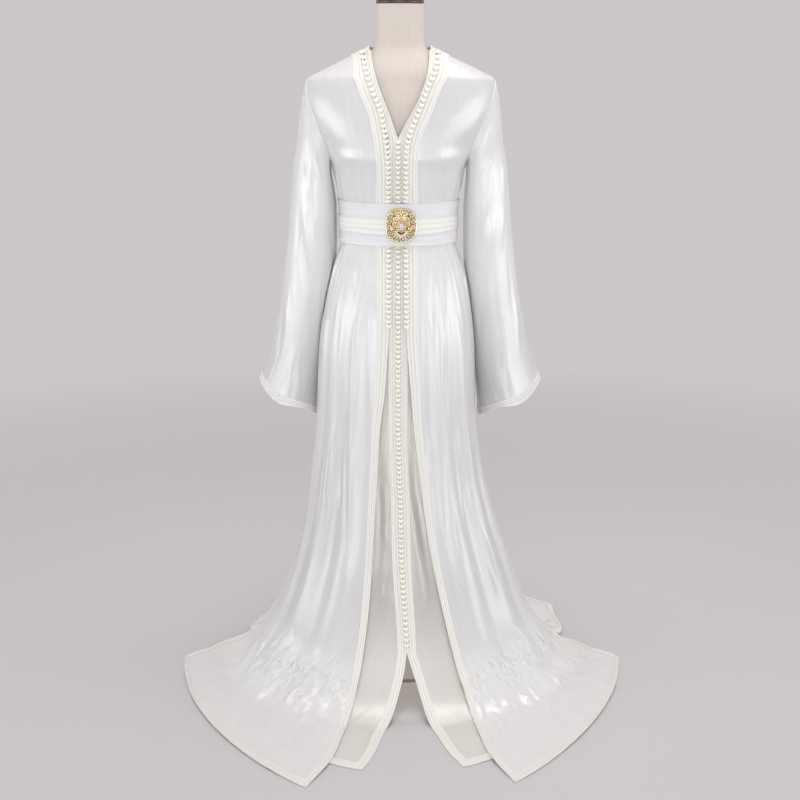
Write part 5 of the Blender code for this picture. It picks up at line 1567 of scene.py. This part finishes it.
def make_filigree(looks):
    """The wires, leaves, beads and bezels on the buckle's plate."""
    edge_x, edge_z = buckle_outline()
    work = Gathered()
    for scale, radius in BUCKLE_RIMS:
        x, z = np.append(edge_x, edge_x[0]) * scale, np.append(edge_z, edge_z[0]) * scale
        work.add_tube(on_buckle(x, z, 0.4 * radius), radius, 8)
    for x, z, radius, first, sweep in BUCKLE_SCROLLS:
        px, pz = spiral(x, z, radius, first, sweep)
        for hand in (-1.0, 1.0):
            work.add_tube(on_buckle(hand * px / 1000.0, pz / 1000.0, WIRE_LIFT),
                          np.linspace(*SCROLL_WIRE, len(px)), 7)
    for x, z, heading, length, width in BUCKLE_LEAVES:
        px, pz = leaf(x, z, heading, length, width)
        for hand in ((-1.0, 1.0) if heading % 180.0 else (1.0,)):
            work.add_tube(on_buckle(hand * px / 1000.0, pz / 1000.0, WIRE_LIFT), LEAF_WIRE, 7)
    for x, z, radius in BUCKLE_BEADS:
        for hand in (-1.0, 1.0):
            unit_lobe, faces = lobe(6, 10)
            centre = on_buckle(np.array([hand * x / 1000.0]), np.array([z / 1000.0]))[0]
            work.add(centre + unit_lobe * radius / 1000.0, faces)
    for half_width, half_height, radius in BUCKLE_BEZELS:
        x, z = marquise(half_width, half_height, 41)
        work.add_tube(on_buckle(x, z + STONE_CENTRE, BEZEL_LIFT), radius, 7)
    filigree = work.piece("buckle_filigree", looks["gilt"], 60.0)
    stand_for("buckle")


def make_hollows(looks):
    """Dark spots on the plate: painted shade that stands in for the holes of a pierced filigree."""
    hollows = Gathered()
    spot = np.linspace(0.0, 2.0 * np.pi, 12, endpoint=False)
    for x, z, radius in BUCKLE_HOLES:
        for hand in ((-1.0, 1.0) if x else (1.0,)):
            px = (hand * x + radius * np.cos(spot)) / 1000.0
            pz = (z + radius * np.sin(spot)) / 1000.0
            hollows.add(np.concatenate((on_buckle(px, pz, 0.00005),
                                        on_buckle(px * 0.999, pz * 0.999, 0.00018))),
                        grid_faces(2, 12, True) + [list(range(12, 24))])
    dots = hollows.piece("buckle_hole_shade", looks["hollow_shade"], 30.0)


def make_buckle(looks):
    make_plate(looks)
    make_filigree(looks)
    make_hollows(looks)
    make_stone(looks)


def make_stone(looks):
    stone = Gathered()
    rings = []
    for scale, height in ((0.6, 0.0006), (1.0, 0.0018), (1.0, 0.0022), (0.72, 0.0036),
                          (0.42, 0.0042)):
        x, z = marquise(STONE_HALF_WIDTH * scale, STONE_HALF_HEIGHT * scale, 17)
        rings.append(on_buckle(x[:-1], z[:-1] + STONE_CENTRE, height))
    rings = np.array(rings)
    stone.add(rings.reshape(-1, 3), capped_faces(len(rings), 16))
    gem = stone.piece("buckle_gem", looks["stone"], 8.0)
    stand_for("buckle_stone")


# ------------------------------------------------------------------ the form and stand
def make_form(looks):
    angle = np.linspace(-180.0, 180.0, 84, endpoint=False)[None, :]
    down = np.concatenate((np.linspace(FORM_LOW, 0.12, 48), np.linspace(0.12, FORM_NECK, 21)[1:]))
    body = shell(angle, down[:, None], -form_depth(angle, down[:, None]))
    body[0, :, 2] = FORM_BOTTOM
    turn = np.radians(angle[0])
    height = np.linspace(NECK_RINGS[0][0], NECK_RINGS[-1][0], 20)[:, None]
    half_width, half_depth = (at(height) for at in columns_of(NECK_RINGS))
    neck = np.stack((half_width * np.sin(turn), -half_depth * np.cos(turn), height + 0.0 * turn),
                    axis=-1)
    joint = [mix(body[-1], neck[0], share) for share in (0.25, 0.5, 0.75)]
    rings = np.concatenate((body, joint, neck))[::-1]
    form = Gathered()
    faces = capped_faces(len(rings), angle.shape[1])
    form.add(rings.reshape(-1, 3), faces, grid_uv(rings).reshape(-1, 2))
    torso = form.piece("linen_torso", looks["linen"], 50.0)
    stand_for("form_torso")


def make_turned(name, node, profile, bottom, material):
    """A turned solid, from a profile of (radius, height) down its outer side."""
    rows = [row for row in profile if row[0] > 0.0]
    turn = np.linspace(0.0, 2.0 * np.pi, 96, endpoint=False)
    rings = np.array([np.stack((radius * np.sin(turn), -radius * np.cos(turn),
                                np.full(96, bottom + height)), -1) for radius, height in rows])
    solid = Gathered()
    solid.add(rings.reshape(-1, 3), capped_faces(len(rows), 96))
    piece = solid.piece(name, material, 35.0)
    stand_for(node)


def make_stand(looks):
    make_turned("turned_neck_cap", "form_neck_cap", CAP_PROFILE, CAP_BOTTOM,
                looks["wood"])
    make_turned("stand_foot", "stand_base", BASE_PROFILE, 0.0, looks["steel"])
    bottom, top = BASE_PROFILE[0][1] + SEAM, FORM_BOTTOM - SEAM
    soft = 0.0010
    profile = ((POLE_RADIUS - soft, top - bottom), (POLE_RADIUS, top - bottom - soft),
               (POLE_RADIUS, 0.5 * (top - bottom)), (POLE_RADIUS, soft),
               (POLE_RADIUS - soft, 0.0))
    make_turned("stand_post", "stand_pole", profile, bottom, looks["steel"])


# ------------------------------------------------------------------ studio
def make_floor():
    """A wide disc in the backdrop's colour, that fades into it."""
    look = Shader("studio_floor", FLOOR_COLOUR, 0.9)
    distance = look.node("ShaderNodeTexGradient", {"gradient_type": "SPHERICAL"},
                         Vector=look.scaled("Object", (1.0 / FLOOR_FADE,) * 3)).outputs["Fac"]
    shown = look.ramp(distance, 0.05, 0.55, (0.0, 0.0, 0.0), (1.0, 1.0, 1.0))
    look.links.new(shown, look.main.inputs["Alpha"])
    turn = np.linspace(0.0, 2.0 * np.pi, 96, endpoint=False)
    rings = [np.stack((r * np.cos(turn), r * np.sin(turn), 0.0 * turn), -1)
             for r in (0.05, 0.5, 1.5, 3.0, FLOOR_FADE)]
    mesh = bpy.data.meshes.new("floor")
    mesh.from_pydata(np.array(rings).reshape(-1, 3).tolist(), [],
                     grid_faces(len(rings), 96, True, flip=False) + [list(range(96))])
    mesh.materials.append(look.material)
    floor = bpy.data.objects.new("floor", mesh)
    bpy.context.scene.collection.objects.link(floor)
    floor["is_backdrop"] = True


def make_light(name, place, target, width, height, watts, spread, colour):
    data = bpy.data.lights.new(name, "AREA")
    data.shape = "RECTANGLE"
    data.size, data.size_y, data.energy = width, height, watts
    data.spread, data.color = math.radians(spread), colour
    light = bpy.data.objects.new(name, data)
    light.location = place
    light.rotation_euler = (Vector(target) - Vector(place)).to_track_quat("-Z", "Y").to_euler()
    bpy.context.scene.collection.objects.link(light)


def make_studio():
    scene = bpy.context.scene
    scene.view_settings.view_transform = "Standard"
    world = bpy.data.worlds.new("studio")
    scene.world = world
    world.use_nodes = True
    backdrop = world.node_tree.nodes["Background"]
    backdrop.inputs["Color"].default_value = (*BACKDROP_COLOUR, 1.0)
    make_floor()
    for light in LIGHTS:
        make_light(*light)
    data = bpy.data.cameras.new("camera")
    data.sensor_width = 36.0
    data.lens = CAMERA_LENS
    camera = bpy.data.objects.new("camera", data)
    camera.location = CAMERA_PLACE
    camera.rotation_euler = (math.radians(90.0 - CAMERA_PITCH), 0.0, 0.0)
    scene.collection.objects.link(camera)
    scene.camera = camera


# ------------------------------------------------------------------ the whole
def declare(cut, *trims):
    """Look up in SHEETS what flat piece a cloth piece was cut as; nothing is passed on, and the
    trims are not used.
    """
    width, length, area, held, rests_on = SHEETS[cut.name]
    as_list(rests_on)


def main():
    frame_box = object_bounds()
    looks = {
        "satin": satin("satin", 0.87, 0.006),
        "satin_sleeve": satin("satin_sleeve", 0.88, 0.006, SLEEVE_LIGHT),
        "satin_gown": satin("satin_gown", 0.88, 0.006, GOWN_LIGHT, CRUMPLED),
        # The under gown's satin is painted a warm mid grey, as painted shade from the outer gown's
        # fronts over it; its stops paint it lighter towards the floor.
        "satin_under": satin("satin_under", 0.48, 0.07, UNDER_LIGHT),
        "braid": braid_cloth("cream_braid"),
        "knots": knot_cord("knot_cord"),
        "ribbed": ribbed_white("ribbed_white"),
        "pleated": pleated_cream("pleated_cream"),
        # The last colour of each gilt is the painted shade of its hollows.
        "gilt": gilt("gilt", (1.0, 0.95, 0.74), 0.28, (0.80, 0.58, 0.24)),
        "gilt_dark": gilt("gilt_dark", (0.50, 0.30, 0.09), 0.40, (0.10, 0.05, 0.012)),
        # The dark spots' gilt is painted shade, for the holes of a pierced filigree.
        "hollow_shade": gilt("hollow_shade", (0.05, 0.035, 0.015), 0.6, (0.02, 0.012, 0.005)),
        "stone": clear_stone("clear_stone"),
        "linen": linen("linen"),
        "wood": wood("wood"),
        "steel": steel("steel"),
    }
    make_studio()
    outer_fronts, inner_fronts = {}, {}
    for side, name in ((-1, "right"), (1, "left")):
        outer_fronts[side] = make_outer_front(side, name, looks)
        inner_fronts[side] = make_inner_front(side, name, looks)
        make_sleeve(side, name, looks)
        make_armhole_cord(side, name, looks)
    make_outer_back(looks)
    make_inner_back(looks)
    make_chains(outer_fronts, inner_fronts, looks)
    make_belt(looks)
    make_buckle(looks)
    make_form(looks)
    make_stand(looks)
    [[list(corner) for corner in box] for box in (frame_box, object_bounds())]


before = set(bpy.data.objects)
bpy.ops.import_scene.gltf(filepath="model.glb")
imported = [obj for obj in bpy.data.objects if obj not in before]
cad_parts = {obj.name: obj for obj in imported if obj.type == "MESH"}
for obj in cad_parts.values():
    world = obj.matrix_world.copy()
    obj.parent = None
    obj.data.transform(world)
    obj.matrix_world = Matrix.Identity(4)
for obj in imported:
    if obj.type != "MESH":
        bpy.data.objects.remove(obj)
main()
